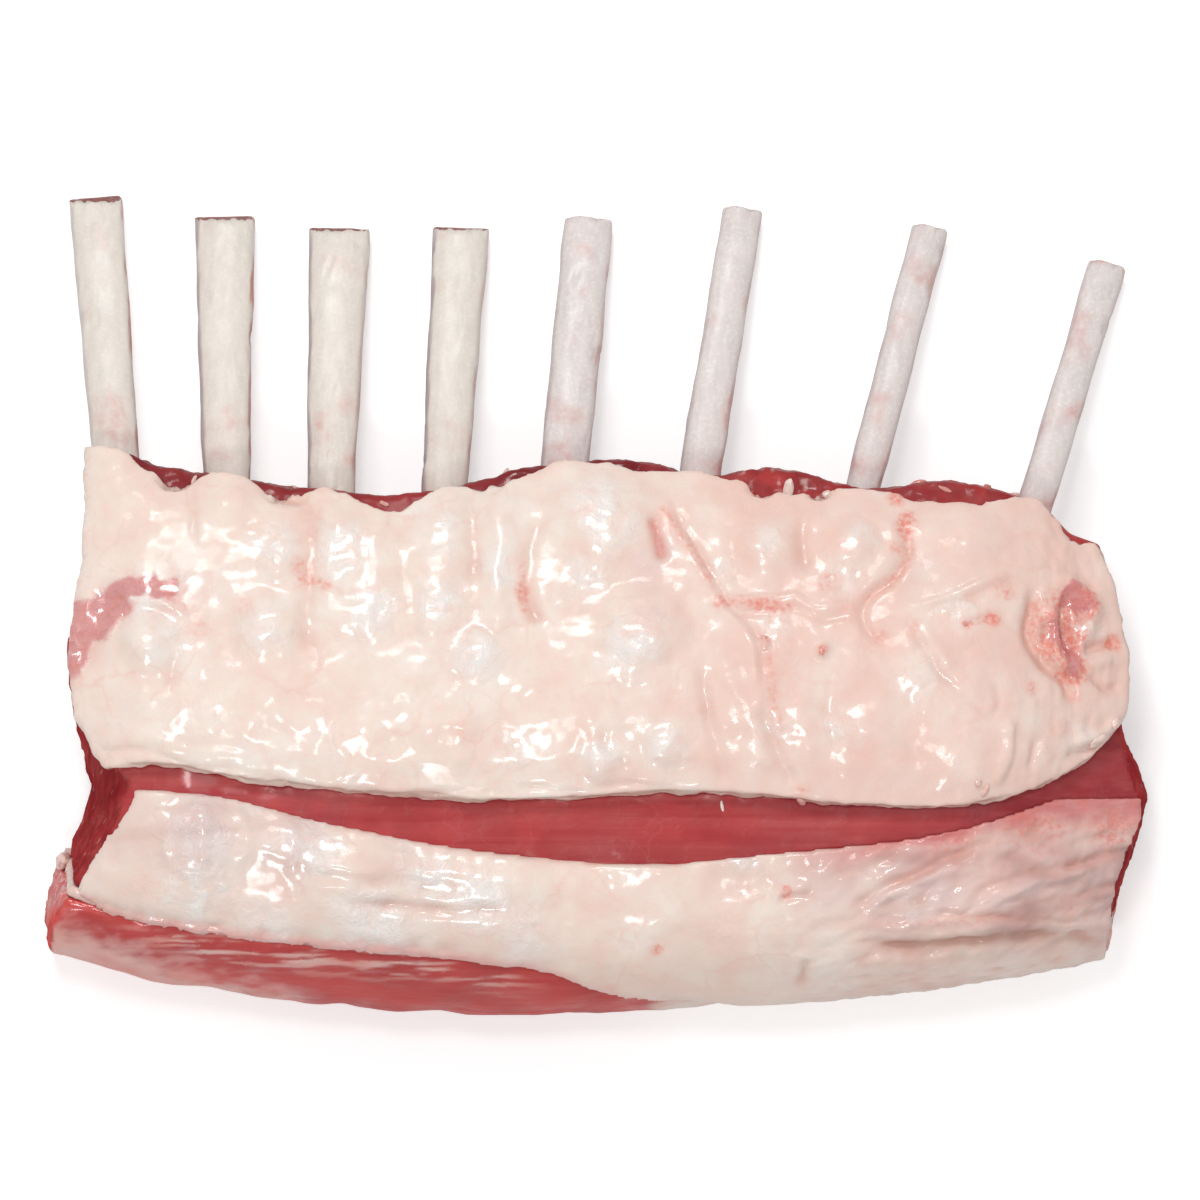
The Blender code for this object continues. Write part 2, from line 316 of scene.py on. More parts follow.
def spanned(tree, value, fromLow, fromHigh, toLow=0.0, toHigh=1.0):
    node = addNode(tree, "ShaderNodeMapRange", {0: value, 1: fromLow, 2: fromHigh, 3: toLow, 4: toHigh})
    return node.outputs[0]


def mask(tree, name):
    return addNode(tree, "ShaderNodeAttribute", attribute_name=name).outputs["Fac"]


def newGroup(name, inputs, outputs):
    group = bpy.data.node_groups.new(name, "ShaderNodeTree")
    for label, start in inputs.items():
        socket = group.interface.new_socket(name=label, in_out="INPUT", socket_type="NodeSocketFloat")
        socket.default_value = start
    for label in outputs:
        group.interface.new_socket(name=label, in_out="OUTPUT", socket_type="NodeSocketFloat")
    start = group.nodes.new("NodeGroupInput")
    end = group.nodes.new("NodeGroupOutput")
    return group, start, end


def useGroup(tree, group, **values):
    node = tree.nodes.new("ShaderNodeGroup")
    node.node_tree = group
    for name, value in values.items():
        plug(tree, value, node.inputs[name])
    return node


def wetFilmGroup():
    # moist surface: roughness that wanders, and ripples that catch the light where Crinkle is high
    group, start, end = newGroup("wetFilm", {"Size": 1.0, "Crinkle": 0.5}, ("Roughness", "Height", "Wet"))
    where = addNode(group, "ShaderNodeTexCoord").outputs["Object"]
    broad = addNode(group, "ShaderNodeTexNoise", {"Vector": where, "Scale": 150.0, "Detail": 3.0})
    fineScale = maths(group, "MULTIPLY", start.outputs["Size"], 330.0)
    fine = addNode(group, "ShaderNodeTexNoise", {"Vector": where, "Scale": fineScale, "Detail": 2.0,
                                                 "Roughness": 0.45, "Distortion": 0.7})
    tinyScale = maths(group, "MULTIPLY", start.outputs["Size"], 800.0)
    tiny = addNode(group, "ShaderNodeTexNoise", {"Vector": where, "Scale": tinyScale, "Detail": 1.0})
    folds = addNode(group, "ShaderNodeTexNoise",
                    {"Vector": where, "Scale": fineScale, "Detail": 1.0, "Distortion": 1.4})
    plates = maths(group, "ABSOLUTE", maths(group, "SUBTRACT", folds.outputs["Fac"], 0.5))
    plates = addNode(group, "ShaderNodeMapRange", {0: plates, 1: 0.0, 2: 0.05},
                     interpolation_type="SMOOTHSTEP")
    wet = spanned(group, broad.outputs["Fac"], 0.40, 0.60)
    soaked = maths(group, "MULTIPLY", spanned(group, start.outputs["Crinkle"], 0.0, 1.0, 0.35, 1.0), wet)
    soaked = maths(group, "MAXIMUM", soaked, start.outputs["Crinkle"])
    plug(group, spanned(group, soaked, 0.0, 1.0, 0.50, 0.22), end.inputs["Roughness"])
    waves = maths(group, "ADD", fine.outputs["Fac"], maths(group, "MULTIPLY", tiny.outputs["Fac"], 0.25))
    waves = maths(group, "ADD", waves, maths(group, "MULTIPLY", plates.outputs[0], 0.10))
    much = spanned(group, start.outputs["Crinkle"], 0.0, 1.0, 0.22, 1.0)
    plug(group, maths(group, "MULTIPLY", waves, much), end.inputs["Height"])
    plug(group, soaked, end.inputs["Wet"])
    return group


def fibreGroup():
    # long strands that run along the loin
    group, start, end = newGroup("fibres", {"Along": 25.0, "Across": 420.0}, ("Strand", "Bundle"))
    where = addNode(group, "ShaderNodeTexCoord").outputs["Object"]
    stretch = addNode(group, "ShaderNodeCombineXYZ",
                      {0: start.outputs["Along"], 1: start.outputs["Across"], 2: start.outputs["Across"]})
    grown = addNode(group, "ShaderNodeVectorMath", {0: where, 1: stretch.outputs[0]}, operation="MULTIPLY")
    strand = addNode(group, "ShaderNodeTexNoise",
                     {"Vector": grown.outputs[0], "Scale": 1.0, "Detail": 3.0, "Distortion": 0.4})
    bundle = addNode(group, "ShaderNodeTexNoise",
                     {"Vector": grown.outputs[0], "Scale": 0.22, "Detail": 2.0, "Distortion": 0.6})
    plug(group, strand.outputs["Fac"], end.inputs["Strand"])
    plug(group, bundle.outputs["Fac"], end.inputs["Bundle"])
    return group


def mottleGroup():
    # slow, blotchy change of tone
    group, start, end = newGroup("mottle", {"Scale": 60.0, "Seed": 0.0}, ("Tone", "Blotch"))
    where = addNode(group, "ShaderNodeTexCoord").outputs["Object"]
    moved = addNode(group, "ShaderNodeVectorMath", {0: where}, operation="ADD")
    offset = addNode(group, "ShaderNodeCombineXYZ", {0: start.outputs["Seed"], 1: start.outputs["Seed"]})
    plug(group, offset.outputs[0], moved.inputs[1])
    slow = addNode(group, "ShaderNodeTexNoise", {"Vector": moved.outputs[0], "Scale": start.outputs["Scale"],
                                                 "Detail": 4.0, "Distortion": 0.5})
    quickScale = maths(group, "MULTIPLY", start.outputs["Scale"], 5.0)
    quick = addNode(group, "ShaderNodeTexNoise",
                    {"Vector": moved.outputs[0], "Scale": quickScale, "Detail": 3.0})
    plug(group, spanned(group, slow.outputs["Fac"], 0.34, 0.66), end.inputs["Tone"])
    plug(group, spanned(group, quick.outputs["Fac"], 0.4, 0.68), end.inputs["Blotch"])
    return group


def threadGroup():
    # thin wandering lines: vessels in fat, marbling in lean
    group, start, end = newGroup("threads", {"Scale": 90.0, "Width": 0.02}, ("Line",))
    where = addNode(group, "ShaderNodeTexCoord").outputs["Object"]
    bend = addNode(group, "ShaderNodeTexNoise", {"Vector": where, "Scale": 140.0, "Detail": 3.0})
    push = addNode(group, "ShaderNodeVectorMath", {0: bend.outputs["Color"], 3: 0.010}, operation="SCALE")
    bent = addNode(group, "ShaderNodeVectorMath", {0: where, 1: push.outputs[0]}, operation="ADD")
    cells = addNode(group, "ShaderNodeTexVoronoi", feature="DISTANCE_TO_EDGE")
    plug(group, bent.outputs[0], cells.inputs["Vector"])
    plug(group, start.outputs["Scale"], cells.inputs["Scale"])
    gaps = addNode(group, "ShaderNodeTexNoise", {"Vector": where, "Scale": 70.0, "Detail": 1.0})
    line = addNode(group, "ShaderNodeMapRange",
                   {0: cells.outputs["Distance"], 1: 0.0, 2: start.outputs["Width"], 3: 1.0, 4: 0.0})
    kept = spanned(group, gaps.outputs["Fac"], 0.5, 0.62)
    plug(group, maths(group, "MULTIPLY", line.outputs[0], kept), end.inputs["Line"])
    return group


wetFilm = wetFilmGroup()
fibres = fibreGroup()
mottle = mottleGroup()
threads = threadGroup()

tones = {
    "cream": (0.885, 0.79, 0.715),
    "ivory": (0.88, 0.715, 0.62),
    "paintedHighlight": (0.93, 0.89, 0.86),
    "rosyFat": (0.84, 0.53, 0.45),
    "creaseShade": (0.68, 0.34, 0.26),
    "paintedShadeBrown": (0.34, 0.17, 0.11),
    "blush": (0.80, 0.26, 0.20),
    "coral": (0.78, 0.20, 0.13),
    "lean": (0.43, 0.036, 0.040),
    "tornLean": (0.76, 0.35, 0.35),
    "brightLean": (0.76, 0.085, 0.070),
    "deepLeanAndShade": (0.20, 0.018, 0.022),
    "paleLean": (0.55, 0.10, 0.095),
    "plum": (0.30, 0.085, 0.12),
    "silver": (0.74, 0.54, 0.52),
    "membrane": (0.80, 0.61, 0.58),
    "lilac": (0.50, 0.27, 0.26),
    "warmBone": (0.80, 0.735, 0.66),
    "coolBone": (0.77, 0.70, 0.675),
    "boneCloud": (0.74, 0.62, 0.58),
    "boneFrost": (0.92, 0.87, 0.84),
    "bonePink": (0.66, 0.30, 0.27),
    "boneFlankShade": (0.42, 0.34, 0.36),
    "boneRust": (0.50, 0.13, 0.08),
    "marrow": (0.16, 0.020, 0.018),
    "marrowPore": (0.36, 0.10, 0.07),
}


def fatMaterial(name, crinkle, creaseShadeStrength, lightSkin, darkSkin):
    # masks: pink, blush, raw (lean showing), silver (grey skin), crease (painted shade in creases and dips),
    # shade (painted shade on rims, undersides and between layers), wet (also paints a highlight)
    material, tree, surface = newMaterial(name)
    film = useGroup(tree, wetFilm, Size=1.0, Crinkle=mask(tree, "wet"))
    blotch = useGroup(tree, mottle, Scale=45.0, Seed=0.3)
    smallBlotch = useGroup(tree, mottle, Scale=190.0, Seed=0.7)
    lines = useGroup(tree, threads, Scale=75.0, Width=0.05)
    grain = useGroup(tree, fibres, Along=60.0, Across=500.0)

    colour = mixColour(tree, blotch.outputs["Tone"], tones["cream"], tones["ivory"])
    softPink = maths(tree, "MULTIPLY", smallBlotch.outputs["Tone"], 0.30)
    colour = mixColour(tree, softPink, colour, tones["rosyFat"])
    colour = mixColour(tree, maths(tree, "MULTIPLY", lines.outputs["Line"], 0.16), colour, tones["blush"])
    colour = mixColour(tree, mask(tree, "pink"), colour, tones["rosyFat"])
    # painted highlight: where the fat is wet its colour goes near white, as if it caught the light
    soaked = maths(tree, "MULTIPLY", film.outputs["Wet"], mask(tree, "wet"))
    colour = mixColour(tree, maths(tree, "MULTIPLY", soaked, 0.70), colour, tones["paintedHighlight"])

    silver = maths(tree, "MULTIPLY", mask(tree, "silver"), 0.85)
    greyed = mixColour(tree, spanned(tree, grain.outputs["Bundle"], 0.4, 0.62), lightSkin, darkSkin)
    colour = mixColour(tree, silver, colour, greyed)

    blush = mask(tree, "blush")
    patchy = spanned(tree, smallBlotch.outputs["Blotch"], 0.0, 1.0, 0.55, 1.25)
    blush = maths(tree, "MULTIPLY", blush, patchy, clamp=True)
    pinkest = mixColour(tree, spanned(tree, blush, 0.0, 0.6), tones["rosyFat"], tones["blush"])
    colour = mixColour(tree, blush, colour, pinkest)
    # painted shade: creases and dips are painted a darker pink-brown
    creaseShadeAmount = maths(tree, "MULTIPLY", mask(tree, "creaseShade"), creaseShadeStrength)
    colour = mixColour(tree, creaseShadeAmount, colour, tones["creaseShade"])

    raw = mask(tree, "raw")
    redMeat = mixColour(tree, grain.outputs["Strand"], tones["tornLean"], tones["paleLean"])
    redMeat = mixColour(tree, spanned(tree, smallBlotch.outputs["Tone"], 0.3, 1.0, 0.0, 0.35),
                        redMeat, tones["coral"])
    colour = mixColour(tree, raw, colour, redMeat)
    # painted shade: rims, undersides and the gaps between layers go dark brown
    colour = mixColour(tree, mask(tree, "shade"), colour, tones["paintedShadeBrown"])
    plug(tree, colour, surface.inputs["Base Color"])

    plug(tree, film.outputs["Roughness"], surface.inputs["Roughness"])
    plug(tree, maths(tree, "MULTIPLY", film.outputs["Wet"], 0.9), surface.inputs["Coat Weight"])
    surface.inputs["Coat Roughness"].default_value = 0.10
    surface.inputs["Coat IOR"].default_value = 1.6
    surface.inputs["Specular IOR Level"].default_value = 0.35
    surface.inputs["Subsurface Weight"].default_value = 0.15
    surface.inputs["Subsurface Radius"].default_value = (1.0, 0.45, 0.30)
    surface.inputs["Subsurface Scale"].default_value = 2 * mm
    bump = addNode(tree, "ShaderNodeBump",
                   {"Height": film.outputs["Height"], "Strength": crinkle, "Distance": 0.75 * mm})
    plug(tree, bump.outputs[0], surface.inputs["Normal"])
    return material


def leanMaterial(name, along, across, shine):
    # masks: haze (thin skin over the lean, and painted sheen on the chine's top), vein (white lines), dark
    # (darker lean, and painted shade at the foot of the chine's side), bright, pale (pale membrane and fat,
    # and painted glints on the chine), wet
    material, tree, surface = newMaterial(name)
    film = useGroup(tree, wetFilm, Size=0.9, Crinkle=mask(tree, "wet"))
    grain = useGroup(tree, fibres, Along=along, Across=across)
    blotch = useGroup(tree, mottle, Scale=70.0, Seed=0.1)
    lines = useGroup(tree, threads, Scale=110.0, Width=0.035)

    strand = spanned(tree, grain.outputs["Strand"], 0.35, 0.68)
    colour = mixColour(tree, strand, tones["lean"], tones["paleLean"])
    calm = spanned(tree, blotch.outputs["Tone"], 0.0, 1.0, 0.65, 0.0)
    colour = mixColour(tree, calm, colour, tones["lean"])
    colour = mixColour(tree, spanned(tree, grain.outputs["Bundle"], 0.42, 0.62, 0.30, 0.0),
                       colour, tones["deepLeanAndShade"])
    marbling = maths(tree, "MULTIPLY", lines.outputs["Line"], 0.035)
    colour = mixColour(tree, marbling, colour, tones["membrane"])
    patchy = spanned(tree, blotch.outputs["Blotch"], 0, 1, 0.7, 1.0)
    haze = maths(tree, "MULTIPLY", mask(tree, "haze"), patchy)
    hazy = mixColour(tree, spanned(tree, mask(tree, "haze"), 0.25, 0.8), tones["plum"], tones["silver"])
    colour = mixColour(tree, haze, colour, hazy)
    pale = mixColour(tree, blotch.outputs["Tone"], tones["cream"], tones["rosyFat"])
    colour = mixColour(tree, mask(tree, "pale"), colour, pale)
    colour = mixColour(tree, mask(tree, "vein"), colour, tones["rosyFat"])
    colour = mixColour(tree, mask(tree, "bright"), colour, tones["brightLean"])
    # the dark mask: darker lean, and painted shade at the foot of the chine's side
    colour = mixColour(tree, mask(tree, "dark"), colour, tones["deepLeanAndShade"])
    plug(tree, colour, surface.inputs["Base Color"])

    plug(tree, film.outputs["Roughness"], surface.inputs["Roughness"])
    plug(tree, maths(tree, "MULTIPLY", mask(tree, "wet"), 0.9), surface.inputs["Coat Weight"])
    surface.inputs["Coat Roughness"].default_value = 0.13
    surface.inputs["Subsurface Weight"].default_value = 0.12
    surface.inputs["Specular IOR Level"].default_value = shine
    surface.inputs["Subsurface Radius"].default_value = (1.0, 0.25, 0.20)
    surface.inputs["Subsurface Scale"].default_value = 1.6 * mm
    strands = maths(tree, "MULTIPLY", grain.outputs["Strand"], 0.5)
    height = maths(tree, "ADD", film.outputs["Height"], strands)
    bump = addNode(tree, "ShaderNodeBump", {"Height": height, "Strength": 0.6, "Distance": 0.7 * mm})
    plug(tree, bump.outputs[0], surface.inputs["Normal"])
    return material


def boneMaterial(name, tone, frost):
    # masks: marrow (cut end), bruise (painted shade: purple-grey on the left flank), rust (red edge), pink,
    # streak
    material, tree, surface = newMaterial(name)
    where = addNode(tree, "ShaderNodeTexCoord").outputs["Object"]
    stretched = addNode(tree, "ShaderNodeMapping", {"Vector": where, "Scale": (700.0, 45.0, 700.0)})
    streaks = addNode(tree, "ShaderNodeTexNoise",
                      {"Vector": stretched.outputs[0], "Scale": 1.0, "Detail": 4.0, "Distortion": 0.3})
    blotch = useGroup(tree, mottle, Scale=90.0, Seed=0.5)
    fine = addNode(tree, "ShaderNodeTexNoise", {"Vector": where, "Scale": 1300.0, "Detail": 3.0})

    shadeTone = tuple(part * 0.90 for part in tones[tone])
    colour = mixColour(tree, spanned(tree, streaks.outputs["Fac"], 0.35, 0.68), tones[tone], shadeTone)
    clouds = maths(tree, "MULTIPLY", blotch.outputs["Tone"], 0.18)
    colour = mixColour(tree, clouds, colour, tones["boneCloud"])
    frosty = maths(tree, "MULTIPLY", spanned(tree, fine.outputs["Fac"], 0.5, 0.66), frost)
    colour = mixColour(tree, frosty, colour, tones["boneFrost"])
    patchy = spanned(tree, blotch.outputs["Blotch"], 0, 1, 0.4, 1.0)
    pink = maths(tree, "MULTIPLY", mask(tree, "pink"), patchy)
    colour = mixColour(tree, pink, colour, tones["bonePink"])
    # painted shade: the left flank of a bone goes purple-grey
    colour = mixColour(tree, mask(tree, "flankShade"), colour, tones["boneFlankShade"])
    colour = mixColour(tree, mask(tree, "rust"), colour, tones["boneRust"])
    pores = spanned(tree, fine.outputs["Fac"], 0.38, 0.66)
    cutFace = mixColour(tree, pores, tones["marrow"], tones["marrowPore"])
    colour = mixColour(tree, mask(tree, "marrow"), colour, cutFace)
    plug(tree, colour, surface.inputs["Base Color"])

    rough = spanned(tree, blotch.outputs["Tone"], 0.0, 1.0, 0.36, 0.55)
    plug(tree, rough, surface.inputs["Roughness"])
    surface.inputs["Coat Weight"].default_value = 0.15
    surface.inputs["Coat Roughness"].default_value = 0.25
    surface.inputs["Subsurface Weight"].default_value = 0.08
    surface.inputs["Subsurface Radius"].default_value = (1.0, 0.7, 0.6)
    surface.inputs["Subsurface Scale"].default_value = 1.2 * mm
    height = maths(tree, "ADD", maths(tree, "MULTIPLY", streaks.outputs["Fac"], 0.8), fine.outputs["Fac"])
    bump = addNode(tree, "ShaderNodeBump", {"Height": height, "Strength": 0.30, "Distance": 0.2 * mm})
    plug(tree, bump.outputs[0], surface.inputs["Normal"])
    return material


capMaterial = fatMaterial("capFatLook", 0.65, 0.50, tones["silver"], tones["membrane"])
coverMaterial = fatMaterial("coverFatLook", 0.65, 0.75, tones["silver"], tones["lilac"])
loinMaterial = leanMaterial("loinLook", 22.0, 380.0, 0.2)
cutMaterial = leanMaterial("cutLeanLook", 160.0, 160.0, 0.0)
ribMeatMaterial = leanMaterial("ribMeatLook", 120.0, 300.0, 0.1)
warmBoneMaterial = boneMaterial("warmBoneLook", "warmBone", 0.25)
coolBoneMaterial = boneMaterial("coolBoneLook", "coolBone", 0.35)
print("materials ready")


def settle(piece, node, material):
    piece.data.materials.append(material)
    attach(piece, "root")
    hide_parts(node)


# the cap of fat

capSettings = {
    "voxel": 0.66 * mm,
    "smoothRounds": 10,
    "creaseDepth": 0.30 * mm,
    "relief": 0.55,
    # lift in mm, then kind, width in mm and points as shares of the cap's box
    "strokes": [
        # over the ribs on the left: soft upright folds
        (-1.0, ("groove", 1.0, [(0.110, 0.98), (0.108, 0.88), (0.113, 0.72)])),
        (-0.9, ("groove", 3.2, [(0.128, 0.66), (0.140, 0.52), (0.150, 0.34)])),
        (1.7, ("ridge", 3.6, [(0.186, 0.86), (0.190, 0.72), (0.186, 0.60)])),
        (1.6, ("ridge", 5.0, [(0.250, 1.00), (0.248, 0.74), (0.251, 0.42)])),
        (1.3, ("ridge", 2.4, [(0.284, 0.86), (0.286, 0.683), (0.281, 0.43)])),
        (1.9, ("ridge", 4.6, [(0.342, 1.00), (0.346, 0.683), (0.340, 0.40)])),
        (1.9, ("ridge", 2.4, [(0.404, 0.96), (0.401, 0.683), (0.399, 0.44)])),
        (-1.6, ("groove", 3.0, [(0.212, 0.98), (0.222, 0.70), (0.218, 0.38)])),
        (-0.9, ("groove", 2.2, [(0.310, 0.90), (0.314, 0.656), (0.318, 0.44)])),
        (-1.3, ("groove", 2.4, [(0.375, 0.96), (0.374, 0.70), (0.369, 0.43)])),
        (-1.5, ("groove", 1.6, [(0.437, 0.80), (0.430, 0.66), (0.434, 0.55), (0.442, 0.50)])),
        (-0.6, ("groove", 3.0, [(0.428, 0.98), (0.434, 0.86), (0.437, 0.72)])),
        # the mound under the tear on the left, and its lip
        (1.7, ("fold", 2.2, [(0.026, 0.46), (0.046, 0.535), (0.072, 0.565), (0.110, 0.530)])),
        (-0.8, ("groove", 1.4, [(0.088, 0.50), (0.094, 0.40), (0.090, 0.30)])),
        # the long flap in the middle, with its bared slit
        (-1.6, ("groove", 1.2, [(0.546, 0.81), (0.551, 0.74), (0.556, 0.67)])),
        (1.8, ("fold", 2.0, [(0.651, 0.22), (0.643, 0.386), (0.637, 0.489), (0.617, 0.561), (0.591, 0.678),
                             (0.567, 0.808), (0.552, 0.86)])),
        (-1.3, ("groove", 1.0, [(0.556, 0.85), (0.572, 0.79), (0.597, 0.66), (0.622, 0.55), (0.644, 0.47),
                                (0.650, 0.36)])),
        (-1.1, ("groove", 1.4, [(0.588, 0.42), (0.601, 0.256), (0.611, 0.139), (0.616, 0.05)])),
        (1.3, ("ridge", 2.4, [(0.610, 0.44), (0.628, 0.30), (0.642, 0.18), (0.655, 0.08)])),
        (-1.5, ("groove", 1.3, [(0.644, 0.30), (0.656, 0.20), (0.668, 0.12), (0.686, 0.06)])),
        (-0.9, ("groove", 2.0, [(0.480, 0.47), (0.530, 0.40), (0.580, 0.44)])),
        # folds over the right half
        (-1.1, ("groove", 1.0, [(0.611, 0.555), (0.641, 0.54), (0.681, 0.552), (0.706, 0.525),
                                (0.742, 0.531)])),
        (1.1, ("fold", 1.6, [(0.742, 0.565), (0.700, 0.560), (0.681, 0.592), (0.640, 0.578),
                             (0.615, 0.60)])),
        (-1.5, ("groove", 1.1, [(0.778, 0.82), (0.787, 0.736), (0.778, 0.65), (0.757, 0.592),
                                (0.746, 0.531), (0.753, 0.48), (0.768, 0.458)])),
        (1.3, ("ridge", 1.8, [(0.766, 0.82), (0.774, 0.74), (0.764, 0.66), (0.745, 0.60)])),
        (-1.4, ("groove", 1.8, [(0.694, 0.82), (0.686, 0.72), (0.692, 0.64)])),
        (-1.0, ("groove", 1.0, [(0.790, 0.53), (0.842, 0.585), (0.876, 0.619), (0.892, 0.64)])),
        (1.1, ("fold", 1.8, [(0.890, 0.66), (0.850, 0.62), (0.810, 0.57), (0.785, 0.56)])),
        (-0.9, ("groove", 0.8, [(0.830, 0.515), (0.850, 0.52), (0.872, 0.538), (0.888, 0.515)])),
        (-1.2, ("groove", 0.9, [(0.788, 0.49), (0.806, 0.43), (0.820, 0.36), (0.838, 0.325)])),
        (0.9, ("ridge", 1.3, [(0.798, 0.50), (0.818, 0.44), (0.832, 0.37)])),
        (-0.7, ("groove", 0.8, [(0.837, 0.328), (0.862, 0.256), (0.872, 0.29), (0.867, 0.356),
                                (0.853, 0.41)])),
        (0.5, ("ridge", 1.0, [(0.842, 0.345), (0.861, 0.285), (0.866, 0.31)])),
        (-0.8, ("groove", 1.4, [(0.718, 0.38), (0.712, 0.28), (0.722, 0.14)])),
        (-0.7, ("groove", 1.8, [(0.790, 0.33), (0.795, 0.20), (0.788, 0.08)])),
        (0.8, ("ridge", 3.0, [(0.690, 0.34), (0.694, 0.22), (0.70, 0.12)])),
        # thin layers along the lower lip
        (-1.2, ("groove", 0.8, [(0.010, 0.165), (0.040, 0.160), (0.066, 0.152), (0.135, 0.103),
                                (0.182, 0.073)])),
        (-1.1, ("groove", 0.8, [(0.135, 0.113), (0.200, 0.070), (0.261, 0.045), (0.33, 0.034),
                                (0.42, 0.040)])),
        (0.6, ("ridge", 1.4, [(0.020, 0.20), (0.066, 0.190), (0.135, 0.150), (0.21, 0.115)])),
        (-0.8, ("groove", 0.8, [(0.40, 0.060), (0.47, 0.048), (0.53, 0.060), (0.58, 0.045)])),
        (-0.9, ("groove", 1.0, [(0.506, 0.24), (0.500, 0.18), (0.515, 0.13), (0.530, 0.10)])),
    ],
    # the torn hollow on the right and the crumple around it
    "tornStrokes": [
        (-2.3, ("groove", 1.5, [(0.906, 0.63), (0.907, 0.55), (0.904, 0.49), (0.916, 0.414), (0.936, 0.342),
                                (0.942, 0.256)])),
        (1.6, ("ridge", 1.1, [(0.921, 0.56), (0.929, 0.50), (0.928, 0.42), (0.940, 0.36)])),
        (-1.9, ("groove", 1.3, [(0.946, 0.59), (0.937, 0.53), (0.941, 0.46), (0.949, 0.40)])),
        (1.5, ("ridge", 1.4, [(0.925, 0.63), (0.950, 0.61), (0.966, 0.56), (0.962, 0.50), (0.954, 0.44)])),
        (-1.3, ("groove", 1.0, [(0.955, 0.42), (0.972, 0.445), (0.992, 0.46)])),
        (-1.1, ("groove", 1.0, [(0.962, 0.37), (0.975, 0.33), (0.992, 0.34)])),
        (1.0, ("ridge", 1.4, [(0.958, 0.38), (0.970, 0.40), (0.985, 0.41)])),
        (-1.0, ("groove", 0.9, [(0.912, 0.21), (0.905, 0.15), (0.901, 0.10)])),
        (1.1, ("ridge", 1.3, [(0.945, 0.175), (0.958, 0.19), (0.973, 0.21), (0.985, 0.26)])),
        (-1.0, ("groove", 0.9, [(0.935, 0.14), (0.955, 0.155), (0.975, 0.17)])),
        (0.9, ("fold", 2.2, [(0.870, 0.05), (0.884, 0.16), (0.890, 0.26)])),
    ],
    # place, radius in mm, lift in mm
    "lumps": [
        ((0.145, 0.86), 8.0, 1.5), ((0.035, 0.86), 10.0, 0.6), ((0.497, 0.80), 14.0, 2.6),
        ((0.535, 0.48), 12.0, 1.9), ((0.182, 0.50), 9.0, 1.6), ((0.070, 0.46), 8.0, 2.1),
        ((0.650, 0.452), 1.8, 1.1), ((0.706, 0.43), 2.0, 1.1), ((0.655, 0.72), 8.0, 1.3),
        ((0.735, 0.72), 8.0, 1.6), ((0.84, 0.76), 11.0, 1.4), ((0.985, 0.60), 8.0, 1.0),
        ((0.975, 0.30), 8.0, 1.0), ((0.750, 0.22), 9.0, 0.9), ((0.84, 0.12), 10.0, 0.8),
        ((0.56, 0.17), 6.0, 1.2), ((0.50, 0.12), 5.0, 1.0), ((0.35, 0.20), 12.0, 0.5),
        ((0.030, 0.56), 7.0, -1.3), ((0.010, 0.45), 6.0, -1.0), ((0.930, 0.48), 6.0, -1.4),
        ((0.38, 0.42), 7.0, 1.2), ((0.27, 0.14), 10.0, 0.5),
    ],
    # the fat swells over each bone where it comes out: shares along the box
    "ribCollars": [0.032, 0.145, 0.240, 0.352, 0.465, 0.592, 0.745, 0.905],
    "collarLine": 0.97,
    "collarRadius": 7.0,   # in mm, as the lift
    "collarLift": 1.2,
    "rimWander": (0.75, 0.35),   # coarse and fine, in mm
    "flankSwell": 1.6,           # in mm, at the left end
    "layerStep": 0.62 * mm,
    "layerLift": 0.22 * mm,
    # where the upper rim is torn back: place, radius and depth in mm
    "bites": [
        ((0.0915, 0.93), 5.0, 4.5), ((0.196, 0.90), 6.5, 3.0), ((0.300, 0.86), 4.6, 5.0),
        ((0.285, 0.90), 4.0, 2.0), ((0.392, 0.93), 6.0, 2.0), ((0.380, 0.93), 2.0, 2.0),
        ((0.535, 0.99), 6.0, 1.8), ((0.650, 0.90), 4.5, 3.6), ((0.706, 0.90), 4.0, 3.6),
        ((0.800, 0.90), 5.0, 2.6), ((0.862, 0.90), 6.0, 2.0), ((0.952, 0.78), 5.0, 4.0),
    ],
    "blush": [
        ((0.215, 0.66), 4.5, 0.55), ((0.222, 0.76), 3.0, 0.35), ((0.160, 0.55), 4.0, 0.35),
        ((0.878, 0.61), 5.0, 0.4), ((0.932, 0.51), 12.0, 0.8), ((0.950, 0.555), 7.0, 1.3),
        ((0.936, 0.46), 8.0, 1.3), ((0.944, 0.38), 6.0, 1.2), ((0.611, 0.565), 3.5, 0.5),
        ((0.660, 0.555), 6.0, 0.35), ((0.712, 0.62), 4.5, 0.5), ((0.730, 0.55), 5.0, 0.3),
        ((0.787, 0.79), 4.5, 0.7), ((0.778, 0.86), 3.5, 0.8), ((0.776, 0.72), 2.5, 0.5),
        ((0.760, 0.47), 3.5, 0.5), ((0.706, 0.433), 1.7, 0.9), ((0.652, 0.47), 2.6, 0.6),
        ((0.870, 0.525), 3.2, 0.75), ((0.842, 0.505), 1.8, 0.6), ((0.884, 0.59), 2.5, 0.6),
        ((0.790, 0.50), 4.0, 0.4), ((0.425, 0.60), 3.0, 0.35), ((0.60, 0.27), 4.0, 0.3),
        ((0.10, 0.57), 5.0, 0.45), ((0.12, 0.50), 5.0, 0.35), ((0.985, 0.46), 3.0, 0.5),
        ((0.905, 0.33), 3.0, 0.5), ((0.69, 0.04), 3.0, 0.5), ((0.36, 0.22), 3.0, 0.3),
        ((0.395, 0.93), 3.5, 0.5), ((0.945, 0.30), 2.5, 0.6),
    ],
    # lean that shows through a tear, as broad strokes
    "tears": [
        ("ridge", 2.4, [(0.100, 0.595), (0.078, 0.612), (0.045, 0.600), (0.020, 0.575)]),
